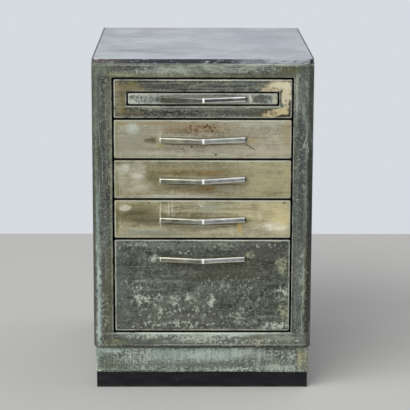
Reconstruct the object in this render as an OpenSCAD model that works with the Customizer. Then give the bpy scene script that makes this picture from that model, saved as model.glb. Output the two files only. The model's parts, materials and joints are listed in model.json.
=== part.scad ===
// Steel drawer cabinet on a recessed plinth, with a pull-out tray and four drawers.
// X runs across, the front faces -Y, Z is up. The origin lies on the floor under the
// middle of the casing. All sizes are in millimetres.

/* [Casing] */
// Width of the casing
case_w = 508; // [440:1:640]
// Depth of the casing, without the handles
case_d = 610; // [540:1:720]
// Height from the floor to the worktop
height = 780; // [740:1:900]
// Thickness of the casing's steel sheet
sheet_t = 1.5; // [1:0.1:2]
// Radius of the casing's two vertical front corners
corner_r = 19; // [12:1:28]
// Width of the front frame's stile at each side, with its rounded corner
stile_w = 47; // [42:1:60]
// Outer radius of the small folds in the casing's sheet
fold_r = 2.5; // [2.2:0.1:3.5]
// How far the frame around the opening is folded back
return_d = 22; // [18:1:30]
// Height of the front frame's top rail
top_rail_h = 31.5; // [20:0.5:45]
// Height of the front frame's bottom rail
bottom_rail_h = 36; // [24:0.5:50]
// Width of the side panels' folded rear edge
rear_flange = 20; // [14:1:30]
// Thickness of the back panel
back_t = 1.2; // [0.8:0.1:2]

/* [Worktop] */
// Height of the worktop's folded lip
lip_h = 12; // [9:0.5:20]
// Thickness of the worktop's steel sheet
worktop_t = 1.5; // [1:0.1:2]
// Radius of the worktop's top edge
worktop_edge_r = 2.5; // [2.2:0.1:4]
// How far the lip lies inside the casing's outer faces
worktop_inset = 1; // [0.5:0.1:1.4]
// Play between the core board and the round inside the lip
core_play = 0.5; // [0.3:0.1:1]

/* [Foot] */
// Height of the black kick base
base_h = 36; // [24:1:60]
// Thickness of the kick base's rails
base_rail_t = 22; // [18:1:30]
// Height of the plinth skirt
plinth_h = 64; // [40:1:90]
// How far the plinth lies inside the casing at the front
plinth_inset_front = 6; // [3:0.5:40]
// How far the plinth lies inside the casing at the sides and the back
plinth_inset_side = 5; // [3:0.5:15]
// Width of the plinth's folded edges
plinth_flange = 18; // [14:1:26]
// How far the kick base lies inside the plinth
base_inset = 1.5; // [0.5:0.5:4]

/* [Fronts] */
// Height of the fascia and of each shallow drawer front
front_h = 90; // [82:0.5:100]
// Gap round each front
front_gap = 3.5; // [2:0.1:5]
// Thickness of the drawers' sheet
drawer_t = 1.2; // [0.8:0.1:1.4]
// Radius of the fronts' folded edges
front_r = 3; // [2:0.1:4]

/* [Tray] */
// Distance from the fascia's ends to its slot
slot_margin = 29.5; // [22:0.5:60]
// Height of the slot in the fascia
slot_h = 33; // [30:0.5:38]
// Depth of the fold round the slot
slot_fold = 10; // [5:0.5:14]
// Gap between the tray front and the slot
slot_gap = 3.4; // [2:0.1:5]
// Depth of the tray front
tray_front_d = 14; // [10:0.5:18]
// Length of the tray pan
tray_l = 440; // [420:1:460]
// Height of the tray pan
tray_h = 22; // [18:0.5:24]
// Width of the tray pan's side flanges
tray_flange = 8; // [6:0.5:9]
// How far the tray's back wall rises over its rim
tray_back_rise = 10; // [6:0.5:12]
// Thickness of the tray guides
guide_t = 1.5; // [1:0.1:2]
// Running clearance of the tray in its guides
guide_play = 0.3; // [0.2:0.05:0.5]
// How far the tray pulls out
tray_travel = 330; // [280:1:340]

/* [Drawers] */
// How far each drawer pulls out
drawer_travel = 430; // [380:1:460]
// Distance between the drawer box and the opening's edge at each side
box_side_gap = 15; // [15:0.5:18]
// How far a shallow drawer's box stays below the top of its front
box_top_drop = 12; // [10:0.5:16]
// How far a drawer's box stays above the bottom of its front
box_bottom_rise = 6; // [4:0.5:10]
// Height of the doubled hem along the box's rim
hem_h = 8; // [5:0.5:12]
// Length of the rubber buffers behind the drawers
buffer_l = 12; // [8:1:16]
// Diameter of the rubber buffers
buffer_dia = 16; // [10:1:20]

/* [Runners] */
// Thickness of the runners' and rails' steel
runner_t = 1.5; // [1.2:0.1:2]
// Radius of the rollers
roller_r = 9; // [8:0.25:10]
// Width of the rollers
roller_w = 9; // [6:0.25:9.5]
// Radius of the rollers' pins
pin_r = 3; // [2.5:0.1:4]
// Radial running clearance of the rollers on their pins
pin_play = 0.05; // [0.03:0.01:0.08]
// Clearance between the rollers and what rolls on them
roll_play = 0.2; // [0.15:0.05:0.4]
// Radius of the pins' riveted heads
rivet_r = 5; // [4.5:0.1:6]
// Thickness of the pins' riveted heads
rivet_t = 1; // [0.6:0.1:1.5]
// Height of a shallow drawer's runner above the bottom of its front
runner_rise = 34; // [26:1:44]
// Height of the deep drawer's runner above the bottom of its front
deep_runner_rise = 110; // [80:1:130]
// Width of the uprights that carry the runners
upright_w = 30; // [20:1:40]
// Distance from the rear uprights to the back panel
upright_back_gap = 30; // [10:1:60]

/* [Handles] */
// Length of the handles
handle_l = 199; // [160:1:230]
// Height of the handle's bar
handle_h = 11.5; // [9:0.5:14]
// Thickness of the handle's bar
handle_t = 6.5; // [5:0.5:8]
// Distance from the front to the handle's ridge
handle_out = 25; // [22:0.5:32]
// How much further the ridge stands out than the bar's ends
handle_rise = 15; // [6:0.5:16]
// Width of the bevels along the bar's front edges
handle_bevel = 2.2; // [1:0.1:3]
// Width of the feet at the handle's ends
foot_w = 12; // [10:0.5:16]
// How far the feet lie inside the bar's top and bottom edges
foot_inset = 0.8; // [0.5:0.1:1.5]
// Distance from a drawer front's top edge to the middle of its handle
handle_drop = 45.5; // [30:0.5:50]

/* [Fasteners] */
// Radius of the screws' shanks
screw_r = 2; // [1.5:0.1:2.5]
// Radius of the screws' heads
screw_head_r = 4; // [3.5:0.1:5]
// Thickness of the screws' heads
screw_head_t = 2; // [1:0.1:3]
// Radial clearance of the screws in their holes
screw_play = 0.1; // [0.05:0.05:0.2]
// Depth of the handle screws in the handle's feet
handle_screw_depth = 8; // [5:0.5:10]
// Length of the worktop and base screws in the wood
wood_screw_depth = 7; // [5:0.5:8]
// Distance from the worktop and base screws to the casing's side faces
screw_edge = 60; // [50:1:90]

/* [Hidden] */
$fn = 48;
ROWS = ["upper", "middle", "lower", "deep"];
DEEP = 3;
CASING_NODES = [
    "worktop", "worktop_core", "worktop_screws", "top_pan",
    "side_panel_left", "side_panel_right", "back_panel", "top_rail", "bottom_rail",
    "bottom_pan", "plinth_front", "plinth_sides", "plinth_back", "base_rails",
    "base_bearers", "base_screws", "uprights_left", "uprights_right", "rear_buffers",
    "fascia", "fascia_brackets", "tray_guides", "tray_stop_bar"
];
TRAY_NODES = ["tray_front", "tray_pan", "tray_handle", "tray_handle_screws"];
DRAWER_PIECES = [
    "drawer_front", "drawer_box", "drawer_rails", "drawer_rollers", "handle",
    "handle_screws", "runners", "runner_rollers"
];

cut = 1;                                    // how far a cutter runs past what it cuts
half_w = case_w / 2;
front_y = -case_d / 2;
back_y = case_d / 2;
case_bottom = base_h + plinth_h;
case_top = height - lip_h;
open_half = half_w - stile_w;
open_bottom = case_bottom + bottom_rail_h;
open_top = case_top - top_rail_h;

front_w = 2 * (open_half - front_gap);
slot_w = front_w - 2 * slot_margin;
row_pitch = front_h + front_gap;
fascia_z = open_top - front_gap - front_h;
deep_top = open_top - 4 * row_pitch - front_gap;
back_inner_y = back_y - sheet_t - back_t;

box_half = open_half - box_side_gap;
close_play = 0.5;                           // gap between a closed drawer and its runners
buffer_play = 0.3;                          // gap between a closed drawer and its buffers
front_d = return_d - drawer_t - close_play;
box_y = front_y + front_d;                  // outer face of the box's own front panel
box_end = back_inner_y - buffer_l;
pan_y = front_y + max(return_d, corner_r);  // where the pans reach their full width

side_play = 2.5;                            // gap between a rail's web and the runner's lips
reach_play = 3.5;                           // gap between a rail's flange and the runner's web
lift_play = 0.7;                            // gap over the drawer rail's flange
pin_gap = 1.3;                              // gap between a pin's head and what passes it
rail_x = box_half + runner_t;               // outer face of the drawer rail's web
channel_x = open_half + sheet_t;            // inner face of the runner's web
upright_x = channel_x + runner_t;           // inner face of the uprights
rail_reach = channel_x - reach_play;        // outer edge of the drawer rail's flange
channel_lip = rail_x + side_play;           // inner edge of the runner's flanges
runner_h = 2 * roller_r + 2 * roll_play + 3 * runner_t + lift_play;
runner_y = front_y + return_d;
runner_l = back_inner_y - upright_back_gap - runner_y;
front_roller_y = runner_y + roller_r + 3;
roller_stop = 1;                            // gap between the rollers of a drawer pulled out
rear_roller_y = front_roller_y + drawer_travel + 2 * roller_r + roller_stop;
roller_x = (rail_x + channel_x) / 2;        // middle of both rollers' width
upright_front_y = runner_y + sheet_t + 1;   // just behind the fascia brackets
upright_rear_y = back_inner_y - upright_back_gap - upright_w;

slot_z = fascia_z + front_h / 2;            // middle of the slot, the tray front and its handle
tray_half = slot_w / 2 - slot_gap - tray_flange;
tray_bottom = slot_z - tray_h / 2;
tray_top = slot_z + tray_h / 2;
tray_flange_x = tray_half + tray_flange;
guide_x = tray_flange_x + guide_play;       // inner face of the guide's web
guide_top = tray_top + guide_play;          // underside of the guide's top plate
guide_lip = tray_half + 2;                  // inner edge of the guide, clear of the tray's wall
guide_y = runner_y + sheet_t;
bracket_drop = 6;                           // how far the fascia brackets stay inside its height
stop_bar_w = 15;                            // width of the tray's stop bar
stop_play = 0.3;                            // gap between the stop bar and a tray pulled out
stop_bar_y = front_y + tray_front_d + tray_l - drawer_t - tray_travel - stop_bar_w - stop_play;

foot_h = handle_h - 2 * foot_inset;
handle_pitch = handle_l - foot_w;           // distance between the handle's two screws
bar_slope = atan(2 * handle_rise / handle_l);
foot_in = 0.5;                              // how deep a foot runs into the bar's back face
foot_y = front_y - handle_out + (handle_pitch - foot_w) / 2 * tan(bar_slope)
    + handle_t / cos(bar_slope) - foot_in;
worktop_half = half_w - worktop_inset;
plinth_half = half_w - plinth_inset_side;
plinth_front_y = front_y + plinth_inset_front;
plinth_back_y = back_y - plinth_inset_side;
plinth_wrap = 10;                           // how far the skirt's front runs past its flange
plinth_corner = plinth_flange + plinth_wrap;
base_half = plinth_half - base_inset;
base_front_y = plinth_front_y + base_inset;
base_back_y = plinth_back_y - base_inset;

function row_top(row) = row < DEEP ? open_top - front_gap - (row + 1) * row_pitch : deep_top;
function row_bottom(row) = row < DEEP ? row_top(row) - front_h : open_bottom + front_gap;
function handle_z(row) = row_top(row) - handle_drop;
function runner_z(row) = row_bottom(row) + (row < DEEP ? runner_rise : deep_runner_rise);
function roller_z(row) = runner_z(row) + runner_t + roll_play + roller_r;

// ---- helpers ----
module box(low, high) translate(low) cube(high - low);
module both_sides() {
    children();
    mirror([1, 0, 0]) children();
}
// Extrudes a (y, z) outline along X, or an (x, z) outline along Y.
module along_x(x, l) translate([x, 0, 0]) rotate([90, 0, 90]) linear_extrude(l) children();
module along_y(y, l) translate([0, y + l, 0]) rotate([90, 0, 0]) linear_extrude(l) children();
module pin_x(x, y, z, r, l) translate([x, y, z]) rotate([0, 90, 0]) cylinder(r = r, h = l);
module pin_y(x, y, z, r, l) translate([x, y, z]) rotate([-90, 0, 0]) cylinder(r = r, h = l);

// Quarter of a folded strip: turn 0 bulges towards +X+Y, and each turn adds 90 degrees.
module fold(x, y, r, t, turn) {
    translate([x, y]) rotate(90 * turn) intersection() {
        difference() {
            circle(r);
            circle(r - t);
        }
        square(r);
    }
}

// Rectangle from (0, 0) whose two corners on the v = 0 side are round.
module soft_outline(w, d, r) {
    translate([0, r]) square([w, d - r]);
    translate([r, 0]) square([w - 2 * r, d]);
    translate([r, r]) circle(r);
    translate([w - r, r]) circle(r);
}

// Rectangle from (0, 0) whose four corners are round.
module round_outline(w, d, r) {
    translate([0, r]) square([w, d - 2 * r]);
    translate([r, 0]) square([w - 2 * r, d]);
    for (x = [r, w - r]) for (y = [r, d - r]) translate([x, y]) circle(r);
}

// Block w by d by h whose four front edges are round; its front face lies at y = 0.
module soft_block(w, d, h, r) {
    intersection() {
        linear_extrude(h) soft_outline(w, d, r);
        along_x(0, w) mirror([1, -1]) soft_outline(h, d, r);
    }
}

// Sheet pan with round folded front edges, open at the back.
module folded_front(x, z, w, d, h) {
    translate([x, front_y, z]) difference() {
        soft_block(w, d, h, front_r);
        translate([drawer_t, drawer_t, drawer_t])
            soft_block(w - 2 * drawer_t, d, h - 2 * drawer_t, front_r - drawer_t);
    }
}

// ---- worktop ----
module worktop_outline(inset) {
    half = worktop_half - inset;
    r = corner_r - worktop_inset - inset;
    depth = case_d - 2 * worktop_inset - 2 * inset;
    translate([-half, front_y + worktop_inset + inset]) soft_outline(2 * half, depth, r);
}

// The worktop's outside: the plan outline with its top edge rounded all along.
module worktop_body(inset, top, r) {
    low = case_top - (inset > 0 ? cut : 0);
    intersection() {
        translate([0, 0, low]) linear_extrude(top - low) worktop_outline(inset);
        along_x(-half_w, case_w) translate([front_y + worktop_inset + inset, 0])
            crowned(case_d - 2 * worktop_inset - 2 * inset, low, top, r);
        along_y(front_y, case_d) translate([-worktop_half + inset, 0])
            crowned(2 * (worktop_half - inset), low, top, r);
    }
}

// Outline from z = low to z = top with both top corners round.
module crowned(w, low, top, r) {
    translate([0, low]) square([w, top - r - low]);
    translate([r, low]) square([w - 2 * r, top - low]);
    translate([r, top - r]) circle(r);
    translate([w - r, top - r]) circle(r);
}

module worktop() {
    color([0.69, 0.71, 0.74]) difference() {
        worktop_body(0, height, worktop_edge_r);
        worktop_body(worktop_t, height - worktop_t, worktop_edge_r - worktop_t);
    }
}

module worktop_core() {
    color([0.62, 0.5, 0.36]) difference() {
        translate([0, 0, case_top]) linear_extrude(height - worktop_t - case_top)
            worktop_outline(worktop_edge_r + core_play);
        worktop_screw_places() cylinder(r = screw_r, h = wood_screw_depth);
    }
}

module worktop_screw_places() {
    both_sides() for (y = [front_y + screw_edge, back_y - screw_edge])
        translate([half_w - screw_edge, y, case_top]) children();
}

module worktop_screws() {
    color([0.6, 0.6, 0.6]) worktop_screw_places() {
        translate([0, 0, -sheet_t]) cylinder(r = screw_r, h = sheet_t + wood_screw_depth);
        translate([0, 0, -sheet_t - screw_head_t]) cylinder(r = screw_head_r, h = screw_head_t);
    }
}

// ---- casing ----
module top_pan() {
    color([0.42, 0.45, 0.41]) difference() {
        box([sheet_t - half_w, pan_y, case_top - sheet_t],
            [half_w - sheet_t, back_inner_y, case_top]);
        worktop_screw_places() translate([0, 0, -sheet_t - cut])
            cylinder(r = screw_r + screw_play, h = sheet_t + 2 * cut);
    }
    color([0.42, 0.45, 0.41])
        box([-open_half, front_y + sheet_t, case_top - sheet_t], [open_half, pan_y, case_top]);
}

// Right-hand side panel from above: stile, round corner, wall and the two folded edges.
module side_section() {
    translate([open_half + fold_r, front_y]) square([stile_w - fold_r - corner_r, sheet_t]);
    fold(open_half + fold_r, front_y + fold_r, fold_r, sheet_t, 2);
    translate([open_half, front_y + fold_r]) square([sheet_t, return_d - fold_r]);
    fold(half_w - corner_r, front_y + corner_r, corner_r, sheet_t, 3);
    translate([half_w - sheet_t, front_y + corner_r])
        square([sheet_t, case_d - corner_r - fold_r]);
    fold(half_w - fold_r, back_y - fold_r, fold_r, sheet_t, 0);
    translate([half_w - rear_flange, back_y - sheet_t]) square([rear_flange - fold_r, sheet_t]);
}

module side_panel() {
    color([0.35, 0.38, 0.34]) translate([0, 0, case_bottom])
        linear_extrude(case_top - case_bottom) side_section();
}
module side_panel_right() side_panel();
module side_panel_left() mirror([1, 0, 0]) side_panel();

// Frame rail between the stiles, as a (y, z) outline folded back at z = 0.
module rail_section(h) {
    translate([front_y, fold_r]) square([sheet_t, h - fold_r]);
    fold(front_y + fold_r, fold_r, fold_r, sheet_t, 2);
    translate([front_y + fold_r, 0]) square([return_d - fold_r, sheet_t]);
}

module top_rail() {
    color([0.35, 0.38, 0.34]) along_x(-open_half, 2 * open_half)
        translate([0, open_top]) rail_section(top_rail_h);
}

module bottom_rail() {
    color([0.35, 0.38, 0.34]) along_x(-open_half, 2 * open_half)
        translate([0, open_bottom]) mirror([0, 1]) rail_section(bottom_rail_h);
}

module bottom_pan() {
    wall = half_w - sheet_t;
    pan_z = case_bottom + sheet_t;
    color([0.42, 0.45, 0.41]) {
        box([-wall, pan_y, case_bottom], [wall, back_inner_y, pan_z]);
        box([-open_half, front_y + sheet_t, case_bottom], [open_half, pan_y, pan_z]);
    }
}

module back_panel() {
    color([0.38, 0.41, 0.37])
        box([fold_r - half_w, back_inner_y, case_bottom],
            [half_w - fold_r, back_y - sheet_t, case_top]);
}

// ---- plinth and kick base ----
module plinth_outline(inset, r) {
    translate([inset - plinth_half, plinth_front_y + inset])
        round_outline(2 * (plinth_half - inset), plinth_back_y - plinth_front_y - 2 * inset, r);
}

// The whole skirt, folded inwards along its top and bottom edges.
module plinth_shell() {
    translate([0, 0, base_h]) difference() {
        linear_extrude(plinth_h) plinth_outline(0, fold_r);
        translate([0, 0, sheet_t]) linear_extrude(plinth_h - 2 * sheet_t)
            plinth_outline(sheet_t, fold_r - sheet_t);
        translate([0, 0, -cut]) linear_extrude(plinth_h + 2 * cut)
            plinth_outline(plinth_flange, fold_r);
        base_screw_places() translate([0, 0, -cut])
            cylinder(r = screw_r + screw_play, h = 2 * cut + sheet_t);
    }
}

module plinth_part(y, d) {
    intersection() {
        plinth_shell();
        box([-half_w, y, base_h], [half_w, y + d, case_bottom]);
    }
}

module plinth_front() {
    color([0.56, 0.62, 0.56]) plinth_part(plinth_front_y, plinth_corner);
}

module plinth_back() {
    color([0.38, 0.41, 0.37]) plinth_part(plinth_back_y - plinth_corner, plinth_corner);
}

module plinth_sides() {
    start = plinth_front_y + plinth_corner;
    color([0.5, 0.55, 0.5]) plinth_part(start, plinth_back_y - plinth_corner - start);
}

// Base screws, measured from the top of the kick base.
module base_screw_places() {
    off = (sheet_t + plinth_flange) / 2;
    both_sides() for (y = [plinth_front_y + off, plinth_back_y - off])
        translate([half_w - screw_edge, y, 0]) children();
}

module base_rails() {
    color([0.09, 0.09, 0.11]) difference() {
        for (y = [base_front_y, base_back_y - base_rail_t])
            box([-base_half, y, 0], [base_half, y + base_rail_t, base_h]);
        translate([0, 0, base_h - wood_screw_depth]) base_screw_places()
            cylinder(r = screw_r, h = wood_screw_depth + cut);
    }
}

module base_bearers() {
    low = base_front_y + base_rail_t;
    high = base_back_y - base_rail_t;
    color([0.09, 0.09, 0.11]) {
        both_sides() box([base_half - base_rail_t, low, 0], [base_half, high, base_h]);
        box([-base_rail_t / 2, low, 0], [base_rail_t / 2, high, base_h]);
    }
}

module base_screws() {
    color([0.6, 0.6, 0.6]) translate([0, 0, base_h]) base_screw_places() {
        translate([0, 0, -wood_screw_depth]) cylinder(r = screw_r, h = wood_screw_depth + sheet_t);
        translate([0, 0, sheet_t]) cylinder(r = screw_head_r, h = screw_head_t);
    }
}

// ---- inside the casing ----
// Folded channel upright, open towards the side panel, as seen from above.
module upright_section(y) {
    translate([upright_x, y]) difference() {
        square([half_w - sheet_t - upright_x, upright_w]);
        translate([sheet_t, sheet_t]) square([half_w, upright_w - 2 * sheet_t]);
    }
}

module uprights() {
    low = case_bottom + sheet_t;
    color([0.42, 0.45, 0.41]) for (y = [upright_front_y, upright_rear_y])
        translate([0, 0, low]) linear_extrude(case_top - sheet_t - low) upright_section(y);
}
module uprights_right() uprights();
module uprights_left() mirror([1, 0, 0]) uprights();

module rear_buffers() {
    color([0.08, 0.08, 0.08]) for (row = [0 : DEEP]) both_sides()
        pin_y(box_half / 2, box_end + buffer_play, roller_z(row), buffer_dia / 2,
            buffer_l - buffer_play);
}

// Channel runners with the front rollers' pins.
module runners(row) {
    z = runner_z(row);
    color([0.5, 0.5, 0.48]) both_sides() {
        box([channel_x, runner_y, z], [upright_x, runner_y + runner_l, z + runner_h]);
        for (level = [z, z + runner_h - runner_t])
            box([channel_lip, runner_y, level], [channel_x, runner_y + runner_l, level + runner_t]);
        roller_pin(channel_x, rail_x + pin_gap, front_roller_y, roller_z(row));
    }
}

// Pin from the face at x = from to its rivet head, which ends at x = to.
module roller_pin(from, to, y, z) {
    low = min(from, to);
    pin_x(low, y, z, pin_r, abs(to - from));
    pin_x(to > from ? to - rivet_t : to, y, z, rivet_r, rivet_t);
}

module rollers(x, y, z) {
    color([0.75, 0.73, 0.66]) both_sides() difference() {
        pin_x(x - roller_w / 2, y, z, roller_r, roller_w);
        pin_x(x - roller_w / 2 - cut, y, z, pin_r + pin_play, roller_w + 2 * cut);
    }
}

// ---- top row ----
// Block that fills the slot, wider by the given margin all round.
module slot_block(margin, y, d) {
    translate([-slot_w / 2 - margin, y, slot_z - slot_h / 2 - margin])
        cube([slot_w + 2 * margin, d, slot_h + 2 * margin]);
}

module fascia() {
    color([0.45, 0.46, 0.38]) difference() {
        union() {
            folded_front(-front_w / 2, fascia_z, front_w, return_d, front_h);
            slot_block(drawer_t, front_y + drawer_t / 2, slot_fold);
        }
        slot_block(0, front_y - cut, return_d);
    }
}

module fascia_brackets() {
    color([0.42, 0.45, 0.41]) both_sides()
        box([guide_x + 2 * guide_t, runner_y, fascia_z + bracket_drop],
            [upright_x, guide_y, fascia_z + front_h - bracket_drop]);
}

module tray_guides() {
    lip_z = tray_top - drawer_t - guide_play;
    y_end = upright_rear_y + upright_w;
    color([0.5, 0.5, 0.48]) both_sides() {
        box([guide_lip, guide_y, guide_top], [upright_x, y_end, guide_top + guide_t]);
        box([guide_x, guide_y, lip_z], [guide_x + guide_t, y_end, guide_top]);
        box([guide_lip, guide_y, lip_z - guide_t], [guide_x + guide_t, y_end, lip_z]);
    }
}

module tray_stop_bar() {
    z = guide_top + guide_t;
    color([0.5, 0.5, 0.48])
        box([-upright_x, stop_bar_y, z], [upright_x, stop_bar_y + stop_bar_w, z + tray_back_rise]);
}

module tray_front() {
    h = slot_h - 2 * slot_gap;
    w = slot_w - 2 * slot_gap;
    color([0.6, 0.6, 0.5]) difference() {
        folded_front(-w / 2, slot_z - h / 2, w, tray_front_d, h);
        handle_screw_holes(slot_z);
    }
}

module tray_pan() {
    y = front_y + tray_front_d;
    back = y + tray_l;
    color([0.5, 0.52, 0.45]) {
        difference() {
            box([-tray_half, y, tray_bottom], [tray_half, back, tray_top]);
            box([drawer_t - tray_half, y + drawer_t, tray_bottom + drawer_t],
                [tray_half - drawer_t, back - drawer_t, tray_top + cut]);
        }
        both_sides() box([tray_half, y, tray_top - drawer_t], [tray_flange_x, back, tray_top]);
        box([drawer_t - tray_half, back - drawer_t, tray_top],
            [tray_half - drawer_t, back, tray_top + tray_back_rise]);
    }
}

// ---- drawers ----
module drawer_front(row) {
    color(row < DEEP ? [0.65, 0.62, 0.53] : [0.33, 0.36, 0.32]) difference() {
        folded_front(-front_w / 2, row_bottom(row), front_w, front_d,
            row_top(row) - row_bottom(row));
        handle_screw_holes(handle_z(row));
    }
}

module drawer_box(row) {
    low = row_bottom(row) + box_bottom_rise;
    high = row_top(row) - box_top_drop;
    inner = box_half - drawer_t;
    color([0.42, 0.44, 0.38]) {
        box([-front_w / 2, box_y, row_bottom(row)], [front_w / 2, box_y + drawer_t, row_top(row)]);
        difference() {
            box([-box_half, box_y, low], [box_half, box_end, high]);
            box([-inner, box_y - cut, low + drawer_t], [inner, box_end - drawer_t, high - hem_h]);
            box([drawer_t - inner, box_y - cut, low + drawer_t],
                [inner - drawer_t, box_end - 2 * drawer_t, high + cut]);
        }
    }
}

// Angle rails on the box's sides, with the rear rollers' pins.
module drawer_rails(row) {
    z = roller_z(row) + roller_r + roll_play;
    y = box_y + drawer_t;
    color([0.5, 0.5, 0.48]) both_sides() {
        box([box_half, y, runner_z(row) + 2 * runner_t], [rail_x, box_end, z + runner_t]);
        box([rail_x, y, z], [rail_reach, box_end, z + runner_t]);
        roller_pin(rail_x, channel_x - pin_gap, rear_roller_y, roller_z(row));
    }
}

// ---- handles ----
module handle_screw_places(z) {
    both_sides() translate([handle_pitch / 2, front_y, z]) children();
}

module handle_screw_holes(z) {
    handle_screw_places(z) pin_y(0, -cut, 0, screw_r + screw_play, 2 * cut + drawer_t);
}

// One half of the bar: a bevelled section swept from its end to the ridge at x = 0.
module handle_arm() {
    bevel = handle_bevel;
    h = handle_h / 2;
    section = [
        [0, bevel - h], [bevel, -h], [handle_t, -h], [handle_t, h], [bevel, h], [0, h - bevel]
    ];
    intersection() {
        translate([0, front_y - handle_out, 0]) rotate([0, 0, bar_slope])
            along_x(-2 * cut, handle_l) polygon(section);
        box([0, front_y - 2 * handle_out, -handle_h], [handle_l / 2, front_y, handle_h]);
    }
}

module handle(z) {
    color([0.72, 0.72, 0.72]) translate([0, 0, z]) difference() {
        both_sides() {
            handle_arm();
            box([handle_pitch / 2 - foot_w / 2, foot_y, -foot_h / 2],
                [handle_pitch / 2 + foot_w / 2, front_y, foot_h / 2]);
        }
        handle_screw_places(0)
            pin_y(0, -handle_screw_depth, 0, screw_r, handle_screw_depth + cut);
    }
}

module handle_screws(z) {
    color([0.6, 0.6, 0.6]) handle_screw_places(z) {
        pin_y(0, -handle_screw_depth, 0, screw_r, handle_screw_depth + drawer_t);
        pin_y(0, drawer_t, 0, screw_head_r, screw_head_t);
    }
}

worktop();
worktop_core();
worktop_screws();
top_pan();
side_panel_left();
side_panel_right();
back_panel();
top_rail();
bottom_rail();
bottom_pan();
plinth_front();
plinth_sides();
plinth_back();
base_rails();
base_bearers();
base_screws();
uprights_left();
uprights_right();
rear_buffers();
fascia();
fascia_brackets();
tray_guides();
tray_stop_bar();
tray_front();
tray_pan();
handle(slot_z);  // tray_handle
handle_screws(slot_z);  // tray_handle_screws
for (row = [0 : DEEP]) {
    name = ROWS[row];
    drawer_front(row);
    drawer_box(row);
    drawer_rails(row);
    rollers(roller_x, rear_roller_y, roller_z(row));
    handle(handle_z(row));
    handle_screws(handle_z(row));
    runners(row);
    rollers(roller_x, front_roller_y, roller_z(row));
}
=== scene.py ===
"""The looks of the worn steel drawer cabinet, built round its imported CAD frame."""

import json
from math import ceil, cos, exp, hypot, pi, radians, sin, tan

import bmesh
import bpy
from mathutils import Matrix, Vector


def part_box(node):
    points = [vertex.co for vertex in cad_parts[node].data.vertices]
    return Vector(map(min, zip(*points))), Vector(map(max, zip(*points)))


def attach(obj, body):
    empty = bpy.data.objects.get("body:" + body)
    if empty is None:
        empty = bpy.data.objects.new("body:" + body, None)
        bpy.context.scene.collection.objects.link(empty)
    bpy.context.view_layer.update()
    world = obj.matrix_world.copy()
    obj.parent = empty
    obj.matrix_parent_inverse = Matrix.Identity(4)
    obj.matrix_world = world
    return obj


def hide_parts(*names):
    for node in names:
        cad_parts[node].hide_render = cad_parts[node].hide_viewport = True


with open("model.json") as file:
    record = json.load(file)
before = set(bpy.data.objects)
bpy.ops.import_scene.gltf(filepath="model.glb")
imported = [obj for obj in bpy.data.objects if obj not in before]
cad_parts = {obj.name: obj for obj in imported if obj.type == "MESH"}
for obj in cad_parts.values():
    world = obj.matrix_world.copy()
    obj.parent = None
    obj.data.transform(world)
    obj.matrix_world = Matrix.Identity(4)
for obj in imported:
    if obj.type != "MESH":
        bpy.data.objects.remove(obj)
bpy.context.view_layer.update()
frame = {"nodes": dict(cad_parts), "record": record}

NODES = frame["nodes"]
MM = 0.001

# ---- sizes, in metres, taken from the frame ----
side_low, side_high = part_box("side_panel_right")
OPEN_HALF, HALF_W = side_low.x, side_high.x
FRONT_Y, BACK_Y = side_low.y, side_high.y
CASE_BOTTOM, CASE_TOP = side_low.z, side_high.z
OPEN_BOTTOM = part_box("bottom_rail")[1].z
OPEN_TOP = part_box("top_rail")[0].z
OPEN_MIDDLE, OPEN_HALF_TALL = (OPEN_TOP + OPEN_BOTTOM) / 2, (OPEN_TOP - OPEN_BOTTOM) / 2
RETURN_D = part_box("top_rail")[1].y - FRONT_Y
WORKTOP_LOW, WORKTOP_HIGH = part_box("worktop")
PLINTH_LOW, PLINTH_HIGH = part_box("plinth_front")

# ---- sizes that the frame doesn't give ----
SHEET_T = 1.5 * MM
FRONT_T = 1.2 * MM
CORNER_R = 19 * MM          # the casing's vertical front corners
FOLD_R = 2.5 * MM           # small folds of the casing and the plinth
FRONT_FOLD_R = 3 * MM       # folded edges of the drawer fronts
SLOT_FOLD_R = 1.6 * MM      # folded edges of the fascia's slot
SLOT_FOLD_D = 10 * MM
SLOT_GAP = 3.4 * MM         # between the slot and the tray's front
REAR_FLANGE = 20 * MM       # the side panels' flange on the back
TOP_EDGE_R = 1.6 * MM       # top edge of the worktop
CELL = 9 * MM               # spacing of the grid on sheet surfaces
HAIR = 0.1 * MM             # margin for saying on which side of a line a point lies


# ---- colours and nodes ----
def linear(colour):
    """Linear values of a colour written as 0xRRGGBB. A tuple holds linear values already."""
    if isinstance(colour, tuple):
        return colour
    shares = [(colour >> shift & 255) / 255 for shift in (16, 8, 0)]
    return tuple(c / 12.92 if c <= 0.04045 else ((c + 0.055) / 1.055) ** 2.4 for c in shares)


def darker(colour, share):
    return tuple(c * share for c in linear(colour))


def feed(tree, socket, value):
    """Links a node's socket to another one, or sets it; None leaves it as it is."""
    if isinstance(value, bpy.types.NodeSocket):
        tree.links.new(value, socket)
    elif value is not None:
        socket.default_value = (*linear(value), 1) if socket.type == "RGBA" else value


def add_node(tree, kind, inputs=(), **settings):
    made = tree.nodes.new("ShaderNode" + kind)
    for key, value in settings.items():
        setattr(made, key, value)
    for socket, value in zip(made.inputs, inputs):
        feed(tree, socket, value)
    return made


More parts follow.
